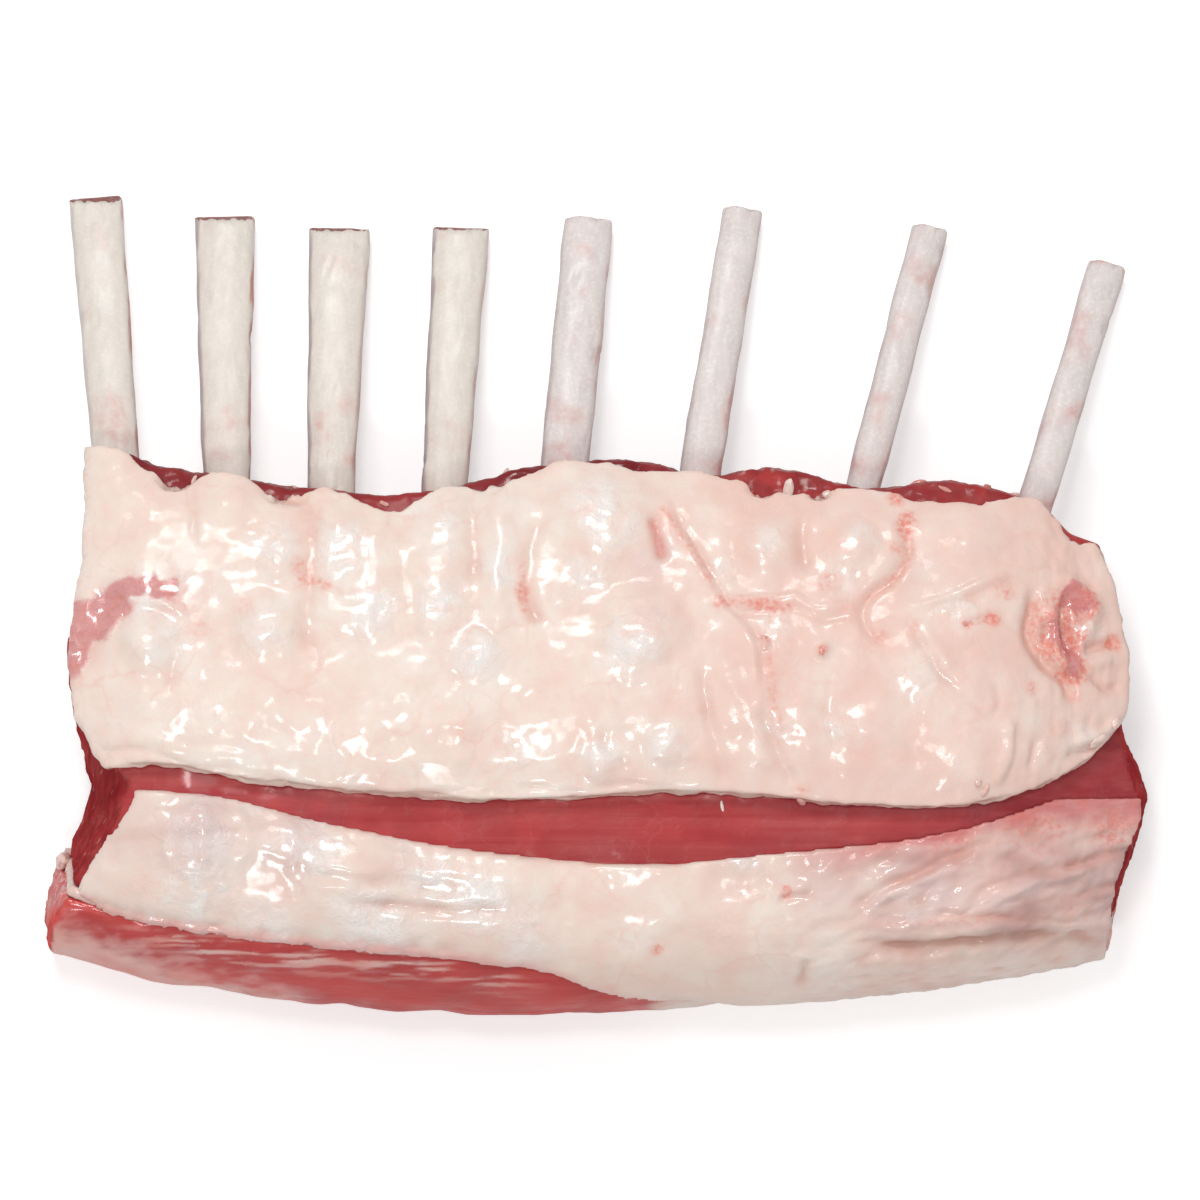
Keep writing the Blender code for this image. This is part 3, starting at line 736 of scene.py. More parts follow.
        ("ridge", 4.2, [(0.062, 0.592), (0.036, 0.560), (0.016, 0.505), (0.008, 0.45)]),
        ("ridge", 3.8, [(0.014, 0.58), (0.002, 0.50), (-0.006, 0.42), (-0.012, 0.33)]),
        ("ridge", 2.3, [(0.936, 0.600), (0.950, 0.575), (0.957, 0.525)]),
        ("ridge", 1.8, [(0.932, 0.55), (0.930, 0.48), (0.942, 0.42), (0.945, 0.34)]),
    ],
    # wet patches: glossier, and painted near white there as a highlight
    "wet": [
        ((0.186, 0.72), 9.0, 1.0), ((0.249, 0.72), 10.0, 1.0), ((0.282, 0.55), 9.0, 1.0),
        ((0.344, 0.76), 8.0, 1.0), ((0.344, 0.56), 9.0, 1.0), ((0.401, 0.66), 8.0, 1.0),
        ((0.380, 0.42), 9.0, 1.0), ((0.500, 0.80), 14.0, 1.0), ((0.482, 0.64), 9.0, 0.8),
        ((0.525, 0.46), 12.0, 1.0), ((0.18, 0.50), 9.0, 0.9), ((0.085, 0.46), 8.0, 0.9),
        ((0.06, 0.58), 9.0, 1.0), ((0.50, 0.15), 9.0, 0.9), ((0.56, 0.17), 8.0, 0.9),
        ((0.66, 0.20), 8.0, 0.7), ((0.66, 0.50), 7.0, 0.6), ((0.655, 0.74), 7.0, 0.7),
        ((0.72, 0.62), 8.0, 0.6), ((0.745, 0.74), 7.0, 0.8), ((0.945, 0.50), 10.0, 0.9),
        ((0.84, 0.55), 9.0, 0.6), ((0.80, 0.36), 9.0, 0.5), ((0.95, 0.20), 8.0, 0.6),
        ((0.26, 0.12), 12.0, 0.45), ((0.42, 0.14), 10.0, 0.6), ((0.03, 0.20), 8.0, 0.5),
        ((0.12, 0.27), 9.0, 0.5), ((0.725, 0.22), 8.0, 0.7), ((0.610, 0.66), 5.0, 0.6),
    ],
    "silver": [
        ((0.54, 0.64), 8.0, 0.55), ((0.545, 0.52), 7.0, 0.4), ((0.10, 0.60), 8.0, 0.45),
        ((0.800, 0.66), 7.0, 0.4), ((0.48, 0.60), 9.0, 0.25), ((0.56, 0.72), 4.0, 0.6),
    ],
    "slit": ("groove", 1.2, [(0.545, 0.80), (0.551, 0.745), (0.557, 0.68)]),
    "threads": [
        ("ridge", 1.0, [(0.604, 0.56), (0.625, 0.575), (0.650, 0.562), (0.690, 0.565)]),
        ("ridge", 1.1, [(0.781, 0.82), (0.789, 0.735), (0.780, 0.65), (0.758, 0.59), (0.748, 0.53)]),
        ("ridge", 1.1, [(0.835, 0.505), (0.855, 0.525), (0.875, 0.535)]),
        ("ridge", 1.1, [(0.650, 0.47), (0.655, 0.40), (0.660, 0.30), (0.672, 0.16)]),
        ("ridge", 1.1, [(0.548, 0.83), (0.566, 0.79), (0.592, 0.67), (0.612, 0.58)]),
        ("ridge", 1.1, [(0.965, 0.43), (0.980, 0.45), (0.995, 0.455)]),
        ("ridge", 1.1, [(0.20, 0.60), (0.225, 0.62), (0.25, 0.60)]),
        ("ridge", 1.1, [(0.423, 0.72), (0.425, 0.60), (0.428, 0.50)]),
    ],
}


def makeCap():
    cap = freshCopy("fat_cap", "capOfFat")
    softSolid(cap, capSettings["voxel"], capSettings["smoothRounds"])
    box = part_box("fat_cap")
    points = places(cap)
    normals = facings(cap)
    up = ease(normals[:, 2], 0.1, 0.6)
    plan = points[:, :2] + mm * np.column_stack((waver(points, 8 * mm, 3), waver(points, 8 * mm, 4)))

    height = capSettings["relief"] * relief(plan, box, capSettings["strokes"])
    height *= 0.75 + 0.6 * waver(points, 6 * mm, 17)
    height += relief(plan, box, capSettings["tornStrokes"], capSettings["lumps"])
    for share in capSettings["ribCollars"]:
        collar = ((share, capSettings["collarLine"]), capSettings["collarRadius"], capSettings["collarLift"])
        height += mm * spotMask(plan, box, collar)
    wet = most([spotMask(plan, box, spot) for spot in capSettings["wet"]])
    wet *= 0.35 + 0.65 * ease(waver(points, 5 * mm, 15, 2), -0.35, 0.15)
    height += mm * 0.45 * waver(points, 15 * mm, 11, 2)
    height += mm * 0.22 * waver(points, 5.5 * mm, 12, 2)
    height += mm * 0.14 * waver(points, 2.6 * mm, 13, 2) * (0.35 + 0.65 * wet)
    slit = strokeMask(plan, box, capSettings["slit"])
    rightEnd = ease(plan[:, 0], 0.080, 0.100)
    height += mm * 0.35 * rightEnd * waver(points * np.array((1.3, 0.7, 1)), 3.4 * mm, 14, 2)
    points += normals * (height * up)[:, None]

    # the torn rim wanders in and out, and is bitten back between the bones
    rim = ease(1 - np.abs(normals[:, 2]), 0.35, 0.9)
    coarse, fine = capSettings["rimWander"]
    ragged = coarse * waver(points, 6 * mm, 21, 3) + fine * waver(points, 2.4 * mm, 22)
    leftFlank = ease(-normals[:, 0], 0.5, 0.9)
    points += normals * (rim * (ragged + capSettings["flankSwell"] * leftFlank) * mm)[:, None]
    bite = relief(plan, box, (), capSettings["bites"])
    points[:, 1] -= bite * (0.8 + 0.7 * waver(points, 1.7 * mm, 24, 2))
    points[:, 2] -= 0.35 * bite * up
    # thin layers show along the lower lip
    lower = ease(-normals[:, 1], 0.3, 0.8)
    layers = np.sin((points[:, 2] + 0.6 * mm * waver(points, 12 * mm, 23)) / capSettings["layerStep"])
    points += normals * (lower * layers * capSettings["layerLift"])[:, None]
    movePoints(cap, points)

    blush = most([spotMask(plan, box, spot) for spot in capSettings["blush"]])
    thin = most([strokeMask(plan, box, stroke) for stroke in capSettings["threads"]])
    ragPlan = plan + 1.2 * mm * np.column_stack((waver(points, 3 * mm, 5), waver(points, 3 * mm, 6)))
    raw = most([strokeMask(ragPlan, box, tear) for tear in capSettings["tears"]])
    # painted shade: the cap's creases and dips, found from the mesh, to be painted darker
    creaseShade = hollows(cap, 14, capSettings["creaseDepth"]) * up * (0.65 + 0.6 * waver(points, 5 * mm, 18, 2))
    under = ease(-normals[:, 2], 0.1, 0.5)
    rightRim = rim * ease(plan[:, 0], 0.090, 0.108) * ease(plan[:, 1], -0.018, -0.004)
    share = (plan[:, 0] - box[0][0]) / (box[1][0] - box[0][0])
    rosy = 0.04 + 0.52 * ease(share, 0.42, 0.68) + 0.42 * waver(points, 11 * mm, 16, 2)
    dips = averaged(cap, ease(-height / mm, 0.1, 1.1), 4)
    thin = averaged(cap, thin, 3)
    paint(cap, "pink", np.maximum(rosy, 0.65 * dips) * (1 - 0.6 * wet))
    paint(cap, "blush", blush + 0.75 * thin + 0.6 * slit + 0.35 * ease(raw, 0.05, 0.4))
    paint(cap, "raw", np.maximum(ease(raw, 0.30, 0.55) * 0.80, slit * 0.5))
    paint(cap, "silver", most([spotMask(plan, box, spot) for spot in capSettings["silver"]]) + 0.6 * under)
    paint(cap, "creaseShade", creaseShade)
    # painted shade: under the lower lip's layers, on undersides, on the right rim that turns away, and in
    # the bites
    paint(cap, "shade", 0.45 * lower * ease(-layers, 0.2, 0.9) + 0.2 * under + 0.6 * rightRim
          + 0.35 * rim * ease(bite / mm, 0.4, 2.0))
    paint(cap, "wet", 0.10 + 0.90 * np.maximum(wet, ease(raw, 0.2, 0.5)))
    settle(cap, "fat_cap", capMaterial)
    print("cap of fat:", len(cap.data.vertices), "points")
    return cap


# the thin cover of fat and silverskin over the loin

coverSettings = {
    "voxel": 0.70 * mm,
    "smoothRounds": 8,
    "creaseDepth": 0.22 * mm,
    "relief": 0.85,
    "strokes": [
        (0.6, ("ridge", 1.1, [(0.079, 0.937), (0.088, 0.806), (0.084, 0.674)])),
        (0.6, ("ridge", 1.2, [(0.116, 0.937), (0.124, 0.784), (0.121, 0.652)])),
        (0.6, ("ridge", 1.2, [(0.154, 0.915), (0.163, 0.784), (0.160, 0.639)])),
        (0.5, ("ridge", 1.2, [(0.201, 0.849), (0.210, 0.718), (0.206, 0.587)])),
        (0.7, ("ridge", 1.4, [(0.144, 0.806), (0.238, 0.652), (0.380, 0.60)])),
        (0.6, ("ridge", 1.3, [(0.20, 0.60), (0.30, 0.52), (0.42, 0.50)])),
        (-0.6, ("groove", 0.9, [(0.24, 0.50), (0.33, 0.46), (0.41, 0.45)])),
        # slanting folds in the silverskin on the right
        (-1.3, ("groove", 1.0, [(0.724, 0.46), (0.748, 0.540), (0.791, 0.622), (0.818, 0.705),
                                (0.860, 0.762)])),
        (1.0, ("fold", 1.6, [(0.735, 0.44), (0.765, 0.525), (0.805, 0.60), (0.840, 0.70)])),
        (-1.4, ("groove", 1.0, [(0.836, 0.477), (0.846, 0.547), (0.878, 0.591), (0.923, 0.639),
                                (0.976, 0.705), (1.00, 0.735)])),
        (1.1, ("fold", 1.6, [(0.850, 0.46), (0.866, 0.520), (0.905, 0.575), (0.965, 0.65)])),
        (-0.8, ("groove", 0.9, [(0.700, 0.60), (0.735, 0.65), (0.775, 0.70)])),
        (-0.8, ("groove", 0.9, [(0.905, 0.70), (0.945, 0.76), (0.985, 0.80)])),
        (-0.9, ("groove", 0.8, [(0.926, 0.50), (0.955, 0.545), (0.99, 0.58)])),
        (-0.7, ("groove", 0.8, [(0.935, 0.42), (0.965, 0.46), (0.995, 0.48)])),
        (-0.8, ("groove", 0.8, [(0.79, 0.44), (0.84, 0.435), (0.90, 0.41), (0.97, 0.40)])),
        (-1.9, ("groove", 1.5, [(0.735, 0.29), (0.765, 0.285), (0.791, 0.293), (0.846, 0.302),
                                (0.896, 0.328), (0.947, 0.311), (0.985, 0.28)])),
        (1.3, ("ridge", 2.6, [(0.65, 0.22), (0.72, 0.215), (0.80, 0.225), (0.88, 0.26), (0.95, 0.25)])),
        (-1.4, ("groove", 1.0, [(0.683, 0.25), (0.681, 0.18), (0.678, 0.11)])),
        (1.0, ("ridge", 1.1, [(0.648, 0.500), (0.668, 0.535), (0.690, 0.565)])),
        (-1.0, ("groove", 0.9, [(0.655, 0.485), (0.672, 0.515), (0.692, 0.545)])),
    ],
    "lumps": [
        ((0.12, 0.72), 13.0, 1.0), ((0.25, 0.58), 12.0, 0.9), ((0.40, 0.52), 14.0, 0.8),
        ((0.55, 0.50), 14.0, 0.7), ((0.70, 0.60), 12.0, 0.5), ((0.88, 0.50), 10.0, 0.6),
    ],
    "silver": [
        ((0.06, 0.80), 14.0, 0.8), ((0.12, 0.85), 16.0, 0.95), ((0.20, 0.78), 14.0, 0.8),
        ((0.30, 0.72), 11.0, 0.5), ((0.70, 0.62), 15.0, 0.7), ((0.80, 0.66), 18.0, 0.95),
        ((0.90, 0.66), 18.0, 1.0), ((0.97, 0.60), 16.0, 0.95), ((0.88, 0.45), 14.0, 0.85),
        ((0.76, 0.45), 12.0, 0.6), ((0.96, 0.40), 10.0, 0.7), ((0.62, 0.62), 10.0, 0.4),
    ],
    "blush": [
        ((0.542, 0.276), 2.2, 0.9), ((0.90, 0.80), 12.0, 0.45), ((0.82, 0.76), 10.0, 0.40),
        ((0.665, 0.53), 2.6, 0.9), ((0.93, 0.47), 7.0, 0.35), ((0.86, 0.62), 6.0, 0.3),
        ((0.20, 0.66), 7.0, 0.20), ((0.42, 0.40), 8.0, 0.15), ((0.60, 0.35), 8.0, 0.20),
        ((0.97, 0.80), 8.0, 0.55), ((0.62, 0.55), 6.0, 0.2), ((0.09, 0.42), 5.0, 0.3),
    ],
    # wet patches: glossier, and painted near white there as a highlight
    "wet": [
        ((0.12, 0.80), 15.0, 1.0), ((0.22, 0.72), 13.0, 1.0), ((0.33, 0.62), 11.0, 1.0),
        ((0.38, 0.50), 12.0, 1.0), ((0.28, 0.42), 14.0, 1.0), ((0.12, 0.55), 13.0, 1.0),
        ((0.18, 0.36), 12.0, 0.9), ((0.07, 0.40), 8.0, 1.0), ((0.42, 0.36), 9.0, 0.9),
        ((0.62, 0.68), 5.0, 0.9), ((0.80, 0.85), 5.0, 0.9), ((0.78, 0.49), 4.0, 1.0),
        ((0.97, 0.75), 7.0, 0.8), ((0.52, 0.62), 6.0, 0.4), ((0.78, 0.42), 4.0, 0.8),
    ],
    "lowFoldShade": ("groove", 2.0, [(0.745, 0.285), (0.791, 0.290), (0.846, 0.300), (0.896, 0.325),
                                (0.96, 0.30)]),
    "redLines": [
        ("ridge", 1.1, [(0.800, 0.44), (0.86, 0.43), (0.93, 0.41)]),
        ("ridge", 1.1, [(0.748, 0.540), (0.791, 0.622), (0.818, 0.705)]),
        ("ridge", 1.1, [(0.82, 0.72), (0.88, 0.77), (0.95, 0.80)]),
        ("ridge", 1.1, [(0.905, 0.61), (0.945, 0.66), (0.985, 0.69)]),
        ("ridge", 1.1, [(0.72, 0.40), (0.80, 0.395), (0.88, 0.40)]),
    ],
    "lowerOverlap": 2.4 * mm,   # on the left the cover laps over the seam below it
    "veil": 7.0 * mm,           # on the right its upper edge is so thin that lean shows through
}


def makeCover(below):
    cover = freshCopy("loin_cover", "coverOfLoin")
    softSolid(cover, coverSettings["voxel"], coverSettings["smoothRounds"])
    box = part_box("loin_cover")
    points = places(cover)
    normals = facings(cover)
    out = ease(normals[:, 2] - normals[:, 1] * 0.9, 0.1, 0.6)
    plan = points[:, :2] + mm * np.column_stack((waver(points, 8 * mm, 33), waver(points, 8 * mm, 34)))
    alongShare = (points[:, 0] - box[0][0]) / (box[1][0] - box[0][0])
    right = ease(alongShare, 0.6, 0.8)
    toLower, toUpper = edgeGaps(points)

    height = coverSettings["relief"] * relief(plan, box, coverSettings["strokes"])
    height *= 0.75 + 0.6 * waver(points, 6 * mm, 30)
    height += relief(plan, box, (), coverSettings["lumps"])
    wet = most([spotMask(plan, box, spot) for spot in coverSettings["wet"]])
    wet *= 0.4 + 0.6 * ease(waver(points, 5 * mm, 36, 2), -0.4, 0.1)
    height += mm * 0.35 * waver(points, 12 * mm, 35, 3)
    height += mm * 0.11 * waver(points, 2.8 * mm, 31, 2) * (0.3 + 0.7 * wet)
    x, y, z = points.T
    slanted = np.column_stack((0.45 * x + 0.25 * y, 1.2 * y - 0.5 * x, z))
    height += mm * 0.42 * right * waver(slanted, 2.3 * mm, 37, 2)
    points += normals * (height * out)[:, None]

    # the lower edge on the left laps over the seam, and every edge thins out to nothing
    tree = treeOf(*below)
    leftPart = 1 - ease(alongShare, 0.48, 0.60)
    lap = ease(1 - toLower / (7 * mm)) * leftPart * ease(points[:, 2], 12 * mm, 20 * mm)
    points += lap[:, None] * coverSettings["lowerOverlap"] * np.array((0, -1.0, -0.25))
    depth = mm * (1.5 + 0.6 * waver(points, 6 * mm, 38, 3))
    depth = depth * (1 - 0.85 * right * (1 - ease(toUpper, 0, 1 * mm)))
    points = sinkEdges(points, tree, 0.4 * mm, 2.8 * mm, depth * (1 - right * 0.9))
    movePoints(cover, points)

    blush = most([spotMask(plan, box, spot) for spot in coverSettings["blush"]])
    lines = most([strokeMask(plan, box, stroke) for stroke in coverSettings["redLines"]])
    silver = most([spotMask(plan, box, spot) for spot in coverSettings["silver"]])
    # painted shade: the cover's creases and dips, found from the mesh, to be painted darker
    creaseShade = hollows(cover, 12, coverSettings["creaseDepth"]) * out
    creaseShade = creaseShade * (0.8 + 0.5 * waver(points, 5 * mm, 29, 2))
    lines = averaged(cover, lines, 3)
    patchy = 0.25 * waver(slanted, 7 * mm, 32, 3)
    veilWidth = coverSettings["veil"] * (1 + 1.1 * ease(alongShare, 0.84, 1.0))
    veil = right * ease(1 - toUpper / veilWidth + patchy, 0.15, 0.95)
    lowVeil = (1 - ease(alongShare, 0.40, 0.60)) * ease(1 - toLower / (4 * mm) + patchy, 0.3, 1.0)
    rosy = 0.12 + 0.12 * right + 0.40 * waver(points, 11 * mm, 39, 2)
    paint(cover, "pink", np.maximum(rosy, 0.7 * ease(-height / mm, 0.2, 1.3)))
    paint(cover, "blush", np.maximum(blush, 0.5 * lines) + 0.35 * veil + 0.2 * lowVeil)
    paint(cover, "raw", 0.95 * veil ** 1.5 + 0.55 * lowVeil)
    paint(cover, "silver", (silver * (0.55 + 0.45 * right) + 0.12 * right) * (1 - 0.5 * veil))
    paint(cover, "creaseShade", creaseShade)
    # painted shade: on undersides toward the right, and in the low fold
    lowFoldShade = strokeMask(plan, box, coverSettings["lowFoldShade"])
    paint(cover, "shade", 0.30 * ease(-normals[:, 2], -0.25, 0.3) * right + 0.40 * lowFoldShade)
    paint(cover, "wet", 0.10 + 0.90 * wet)
    settle(cover, "loin_cover", coverMaterial)
    print("cover:", len(cover.data.vertices), "points")
    return cover


# the lean: loin, chine muscle and rib meat

def useCutLook(piece, share):
    # the faces where the share is over a half take the look of a cut end
    piece.data.materials.append(cutMaterial)
    corners = np.empty(len(piece.data.loops), dtype=np.int64)
    piece.data.loops.foreach_get("vertex_index", corners)
    starts = np.empty(len(piece.data.polygons), dtype=np.int64)
    piece.data.polygons.foreach_get("loop_start", starts)
    piece.data.polygons.foreach_set("material_index", (share[corners[starts]] > 0.5).astype(np.int32))


loinSettings = {
    "voxel": 0.9 * mm,
    "smoothRounds": 8,
    "endShare": 0.060,   # how much of the length belongs to the left cut end
    # white lines on top, as shares of the loin's box
    "veins": [
        ("ridge", 0.5, [(0.475, 0.24), (0.51, 0.22), (0.545, 0.205), (0.59, 0.19)]),
        ("ridge", 0.45, [(0.59, 0.19), (0.62, 0.175), (0.655, 0.15)]),
        ("ridge", 0.5, [(0.30, 0.22), (0.335, 0.20), (0.37, 0.17)]),
        ("ridge", 0.4, [(0.70, 0.20), (0.72, 0.23), (0.75, 0.25)]),
        ("ridge", 0.4, [(0.22, 0.27), (0.25, 0.26), (0.29, 0.25)]),
    ],
}


def makeLoin():
    loin = freshCopy("loin_muscle", "loinMuscle")
    softSolid(loin, loinSettings["voxel"], loinSettings["smoothRounds"])
    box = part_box("loin_muscle")
    points = places(loin)
    normals = facings(loin)
    share = (points[:, 0] - box[0][0]) / (box[1][0] - box[0][0])
    # the cut ends, with the strip of lean beside the left one
    leftEnd = ease(loinSettings["endShare"] + 0.010 * waver(points, 6 * mm, 48, 2) - share, 0.0, 0.012)
    endFace = np.maximum(ease(np.abs(normals[:, 0]), 0.35, 0.7), leftEnd)
    under = ease(-normals[:, 2], 0.2, 0.7)
    up = ease(normals[:, 2], 0.3, 0.8)
    height = mm * (0.30 * waver(points, 9 * mm, 41, 2) * up
                   + 0.45 * waver(points, 3.2 * mm, 42, 3) * endFace
                   + 0.35 * waver(points, 7 * mm, 43, 3) * under)
    points += normals * height[:, None]
    movePoints(loin, points)

    plan = points[:, :2]
    vein = most([strokeMask(plan, box, stroke) for stroke in loinSettings["veins"]]) * up
    film = 0.25 * ease(share, 0.6, 0.95) + 0.16 * ease(waver(points, 14 * mm, 44), 0.0, 0.8)
    flecks = endFace * ease(waver(points, 1.5 * mm, 46, 2), 0.56, 0.74)
    paint(loin, "vein", vein * 0.6 + 0.45 * flecks)
    underSkin = 0.65 * under * ease(waver(points, 12 * mm, 45, 2), -0.5, 0.5)
    paint(loin, "haze", (up * film + underSkin) * (1 - endFace))
    paint(loin, "pale", np.zeros(len(points)))
    bright = 0.25 * up * ease(waver(points, 9 * mm, 40, 2), -0.1, 0.5)
    paint(loin, "bright", bright * (1 - share) * (1 - endFace))
    stringy = ease(waver(points * np.array((1, 0.5, 1)), 2.6 * mm, 47, 2), -0.2, 0.3)
    paint(loin, "dark", endFace * (0.08 + 0.42 * stringy) + 0.30 * up * ease(share, 0.80, 0.98))
    paint(loin, "wet", (0.06 + 0.40 * ease(waver(points, 3.5 * mm, 49, 2), 0.3, 0.5)) * (1 - endFace))
    settle(loin, "loin_muscle", loinMaterial)
    useCutLook(loin, endFace)
    return loin


inMetres = ((0.0, 0.0), (1.0, 1.0))   # a box in which shares are metres

chineSettings = {
    "voxel": 0.8 * mm,
    "smoothRounds": 8,
    "scallopLength": 8.5 * mm,
    "scallopDepth": 0.8,
    # where the side is wet just under the cover, with pale streaks painted there as highlights: width in mm,
    # points in metres
    "gleam": ("ridge", 3.0, [(-0.104, -0.0670), (-0.092, -0.0715), (-0.0764, -0.0750), (-0.055, -0.0768),
                             (-0.0334, -0.0782), (-0.020, -0.0805), (-0.008, -0.0830)]),
}


def makeChine():
    chine = freshCopy("chine_muscle", "chineMuscle")
    softSolid(chine, chineSettings["voxel"], chineSettings["smoothRounds"])
    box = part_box("chine_muscle")
    points = places(chine)
    normals = facings(chine)
    share = (points[:, 0] - box[0][0]) / (box[1][0] - box[0][0])
    endFace = ease(np.abs(normals[:, 0]), 0.45, 0.8)
    side = ease(-normals[:, 1], 0.0, 0.6)
    # the side is scalloped where the chine was sawn and pulled
    swing = points[:, 0] / chineSettings["scallopLength"] + 1.6 * waver(points, 30 * mm, 50)
    scallops = np.abs(np.sin(swing)) - 0.6
    toLower, toUpper = edgeGaps(points)
    upperSide = most([ease(1 - toUpper / (12 * mm), 0.0, 0.5) * ease(0.62 - share, 0.0, 0.1),
                      strokeMask(points[:, :2], inMetres, chineSettings["gleam"])])
    longFolds = wrinkles(points, 2.4 * mm, 58, (0.16, 1.1, 1)) * ease(waver(points, 9 * mm, 57), -0.3, 0.2)
    scallopRise = chineSettings["scallopDepth"] * scallops * side * (1 - ease(share, 0.6, 0.75))
    height = mm * (0.35 * waver(points, 8 * mm, 51, 2) + scallopRise
                   + 0.42 * upperSide * longFolds
                   + 0.5 * waver(points, 4.0 * mm, 54, 3) * endFace)
    standing = ease(points[:, 2], 0.3 * mm, 3 * mm)
    points += normals * (height * standing)[:, None]
    points[:, 1] = np.maximum(points[:, 1], box[0][1] + 0.1 * mm)
    movePoints(chine, points)

    wander = waver(points, 10 * mm, 55, 2)
    x, y, z = points.T
    slanted = np.column_stack((0.5 * (x + 1.6 * y), 1.5 * y - 0.6 * x, z))
    streak = waver(slanted, 5 * mm, 52, 3)
    # the corner of pale membrane: its upper line slants down to the right
    slope = toLower - (8.5 * mm - 30 * mm * share)
    corner = ease(-slope / (4.5 * mm) + 0.7 * streak, -0.8, 0.9)
    corner *= ease(0.27 - share + 0.03 * wander, 0.0, 0.05)
    film = ease(-(slope - 4 * mm) / (5 * mm) + 1.0 * streak, -0.4, 0.9) * ease(0.32 - share, 0.0, 0.10)
    # painted highlight: a pale streaky sheen along the top of the chine, painted in through the haze
    paintedTopSheen = ease(1 - toUpper / (5 * mm) + 0.6 * streak, 0.3, 1.0) * ease(0.60 - share, 0.0, 0.1)
    fading = ease(share + 0.03 * wander + 0.02 * streak, 0.52, 0.60)
    paint(chine, "vein", np.zeros(len(points)))
    paint(chine, "haze", (0.55 * film + 0.35 * paintedTopSheen) * (1 - endFace))
    # painted highlight: pale glints in a band just under the cover
    glintBand = strokeMask(points[:, :2], inMetres, chineSettings["gleam"])
    combed = waver(points * np.array((0.10, 1.7, 0.5)), 1.7 * mm, 53, 2)
    paintedGlints = glintBand * ease(combed + 0.15 * streak, -0.02, 0.30)
    paint(chine, "pale", np.maximum(np.maximum(corner * 0.9 * (1 - endFace), fading * 0.92), 0.85 * paintedGlints)
          + 0.2 * endFace * ease(waver(points, 2.0 * mm, 57, 2), 0.50, 0.7))
    paint(chine, "bright", 0.92 * (1 - ease(points[:, 2], 30 * mm, 38 * mm) * 0.2) * (1 - 0.4 * side)
          * (0.6 + 0.4 * ease(waver(points, 12 * mm, 56), -0.4, 0.4)) * (1 - fading) + 0.4 * endFace)
    # painted shade: the chine's side goes darker toward its foot, varying with the scallops
    footShade = ease(9 * mm - points[:, 2], 0.0, 8 * mm) * side
    paint(chine, "dark", 0.65 * footShade * (1 - 0.8 * corner) * (0.7 + 0.6 * scallops)
          + 0.35 * endFace * ease(waver(points, 4 * mm, 59, 2), -0.3, 0.4))
    paint(chine, "wet", 0.12 + 0.88 * upperSide)
    settle(chine, "chine_muscle", loinMaterial)
    useCutLook(chine, endFace)
    return chine


ribMeatSettings = {
    "voxel": 0.7 * mm,
    "smoothRounds": 6,
    "raggedEdge": 0.6,   # in mm
}


def makeRibMeat():
    meat = freshCopy("rib_meat", "ribMeat")
    softSolid(meat, ribMeatSettings["voxel"], ribMeatSettings["smoothRounds"])
    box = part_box("rib_meat")
    points = places(meat)
    normals = facings(meat)
    under = ease(-normals[:, 2], 0.2, 0.7)
    depth = (points[:, 1] - box[0][1]) / (box[1][1] - box[0][1])
    edge = ease(depth, 0.6, 0.85)
    ragged = ribMeatSettings["raggedEdge"]
    height = mm * (ragged * waver(points, 5 * mm, 61, 3) * edge + 0.3 * waver(points, 2.2 * mm, 62) * edge
                   + 0.3 * waver(points, 7 * mm, 63, 2) * under)
    points += normals * height[:, None]
    movePoints(meat, points)
    share = (points[:, 0] - box[0][0]) / (box[1][0] - box[0][0])
    rightSide = ease(share, 0.55, 0.65)
    paint(meat, "vein", np.zeros(len(points)))
    paint(meat, "haze", 0.7 * under * ease(waver(points, 10 * mm, 64, 2), -0.4, 0.4)
          + 0.25 * edge * ease(waver(points, 5 * mm, 65, 2), 0.1, 0.5))
    paint(meat, "pale", (0.35 + 0.45 * rightSide) * edge * ease(waver(points, 3.2 * mm, 66, 3), 0.50, 0.66))
    paint(meat, "bright", 0.45 * edge * rightSide * ease(waver(points, 4 * mm, 68, 2), 0.0, 0.5))
    dark = 0.62 + 0.33 * ease(waver(points, 5 * mm, 67, 2), -0.2, 0.4)
    paint(meat, "dark", edge * dark * (1 - 0.4 * rightSide))
    paint(meat, "wet", 0.15 + 0.60 * edge * ease(waver(points, 3 * mm, 69, 2), 0.1, 0.5))
    settle(meat, "rib_meat", ribMeatMaterial)
    return meat


seamSettings = {
    "voxel": 0.6 * mm,
    "smoothRounds": 4,
    # the seam's looks include a little painted shade, spread evenly, through crease and shade
    "looks": {"pink": 0.4, "blush": 0.15, "raw": 0.0, "silver": 0.2,
              "creaseShade": 0.2, "shade": 0.05, "wet": 0.4},
}


def makeSeam():
    seam = freshCopy("seam_fat", "seamOfFat")
    softSolid(seam, seamSettings["voxel"], seamSettings["smoothRounds"])
    points = places(seam)
    normals = facings(seam)
    standing = ease(points[:, 2], 0.5 * mm, 3 * mm)
    points += normals * (mm * (0.25 + 0.35 * waver(points, 5 * mm, 71, 2)) * standing)[:, None]
    movePoints(seam, points)
    for name, value in seamSettings["looks"].items():
        paint(seam, name, np.full(len(points), value))
    settle(seam, "seam_fat", capMaterial)
    return seam


# the bones

boneSettings = {
    "levels": 3,
    "rimCrease": 0.75,
    "rimAngle": 60,      # degrees between faces, past which an edge stays crisp
    "warmOnes": 4,       # counted from the left; the others are cooler and frosted
    "marrowOnes": 4,     # these show dark marrow at the sawn tip
    "pinkTip": 8,
    "nick": 0.28 * mm,
    "cutLean": 2.3 * mm,  # how far the top of a sawn tip leans back
}


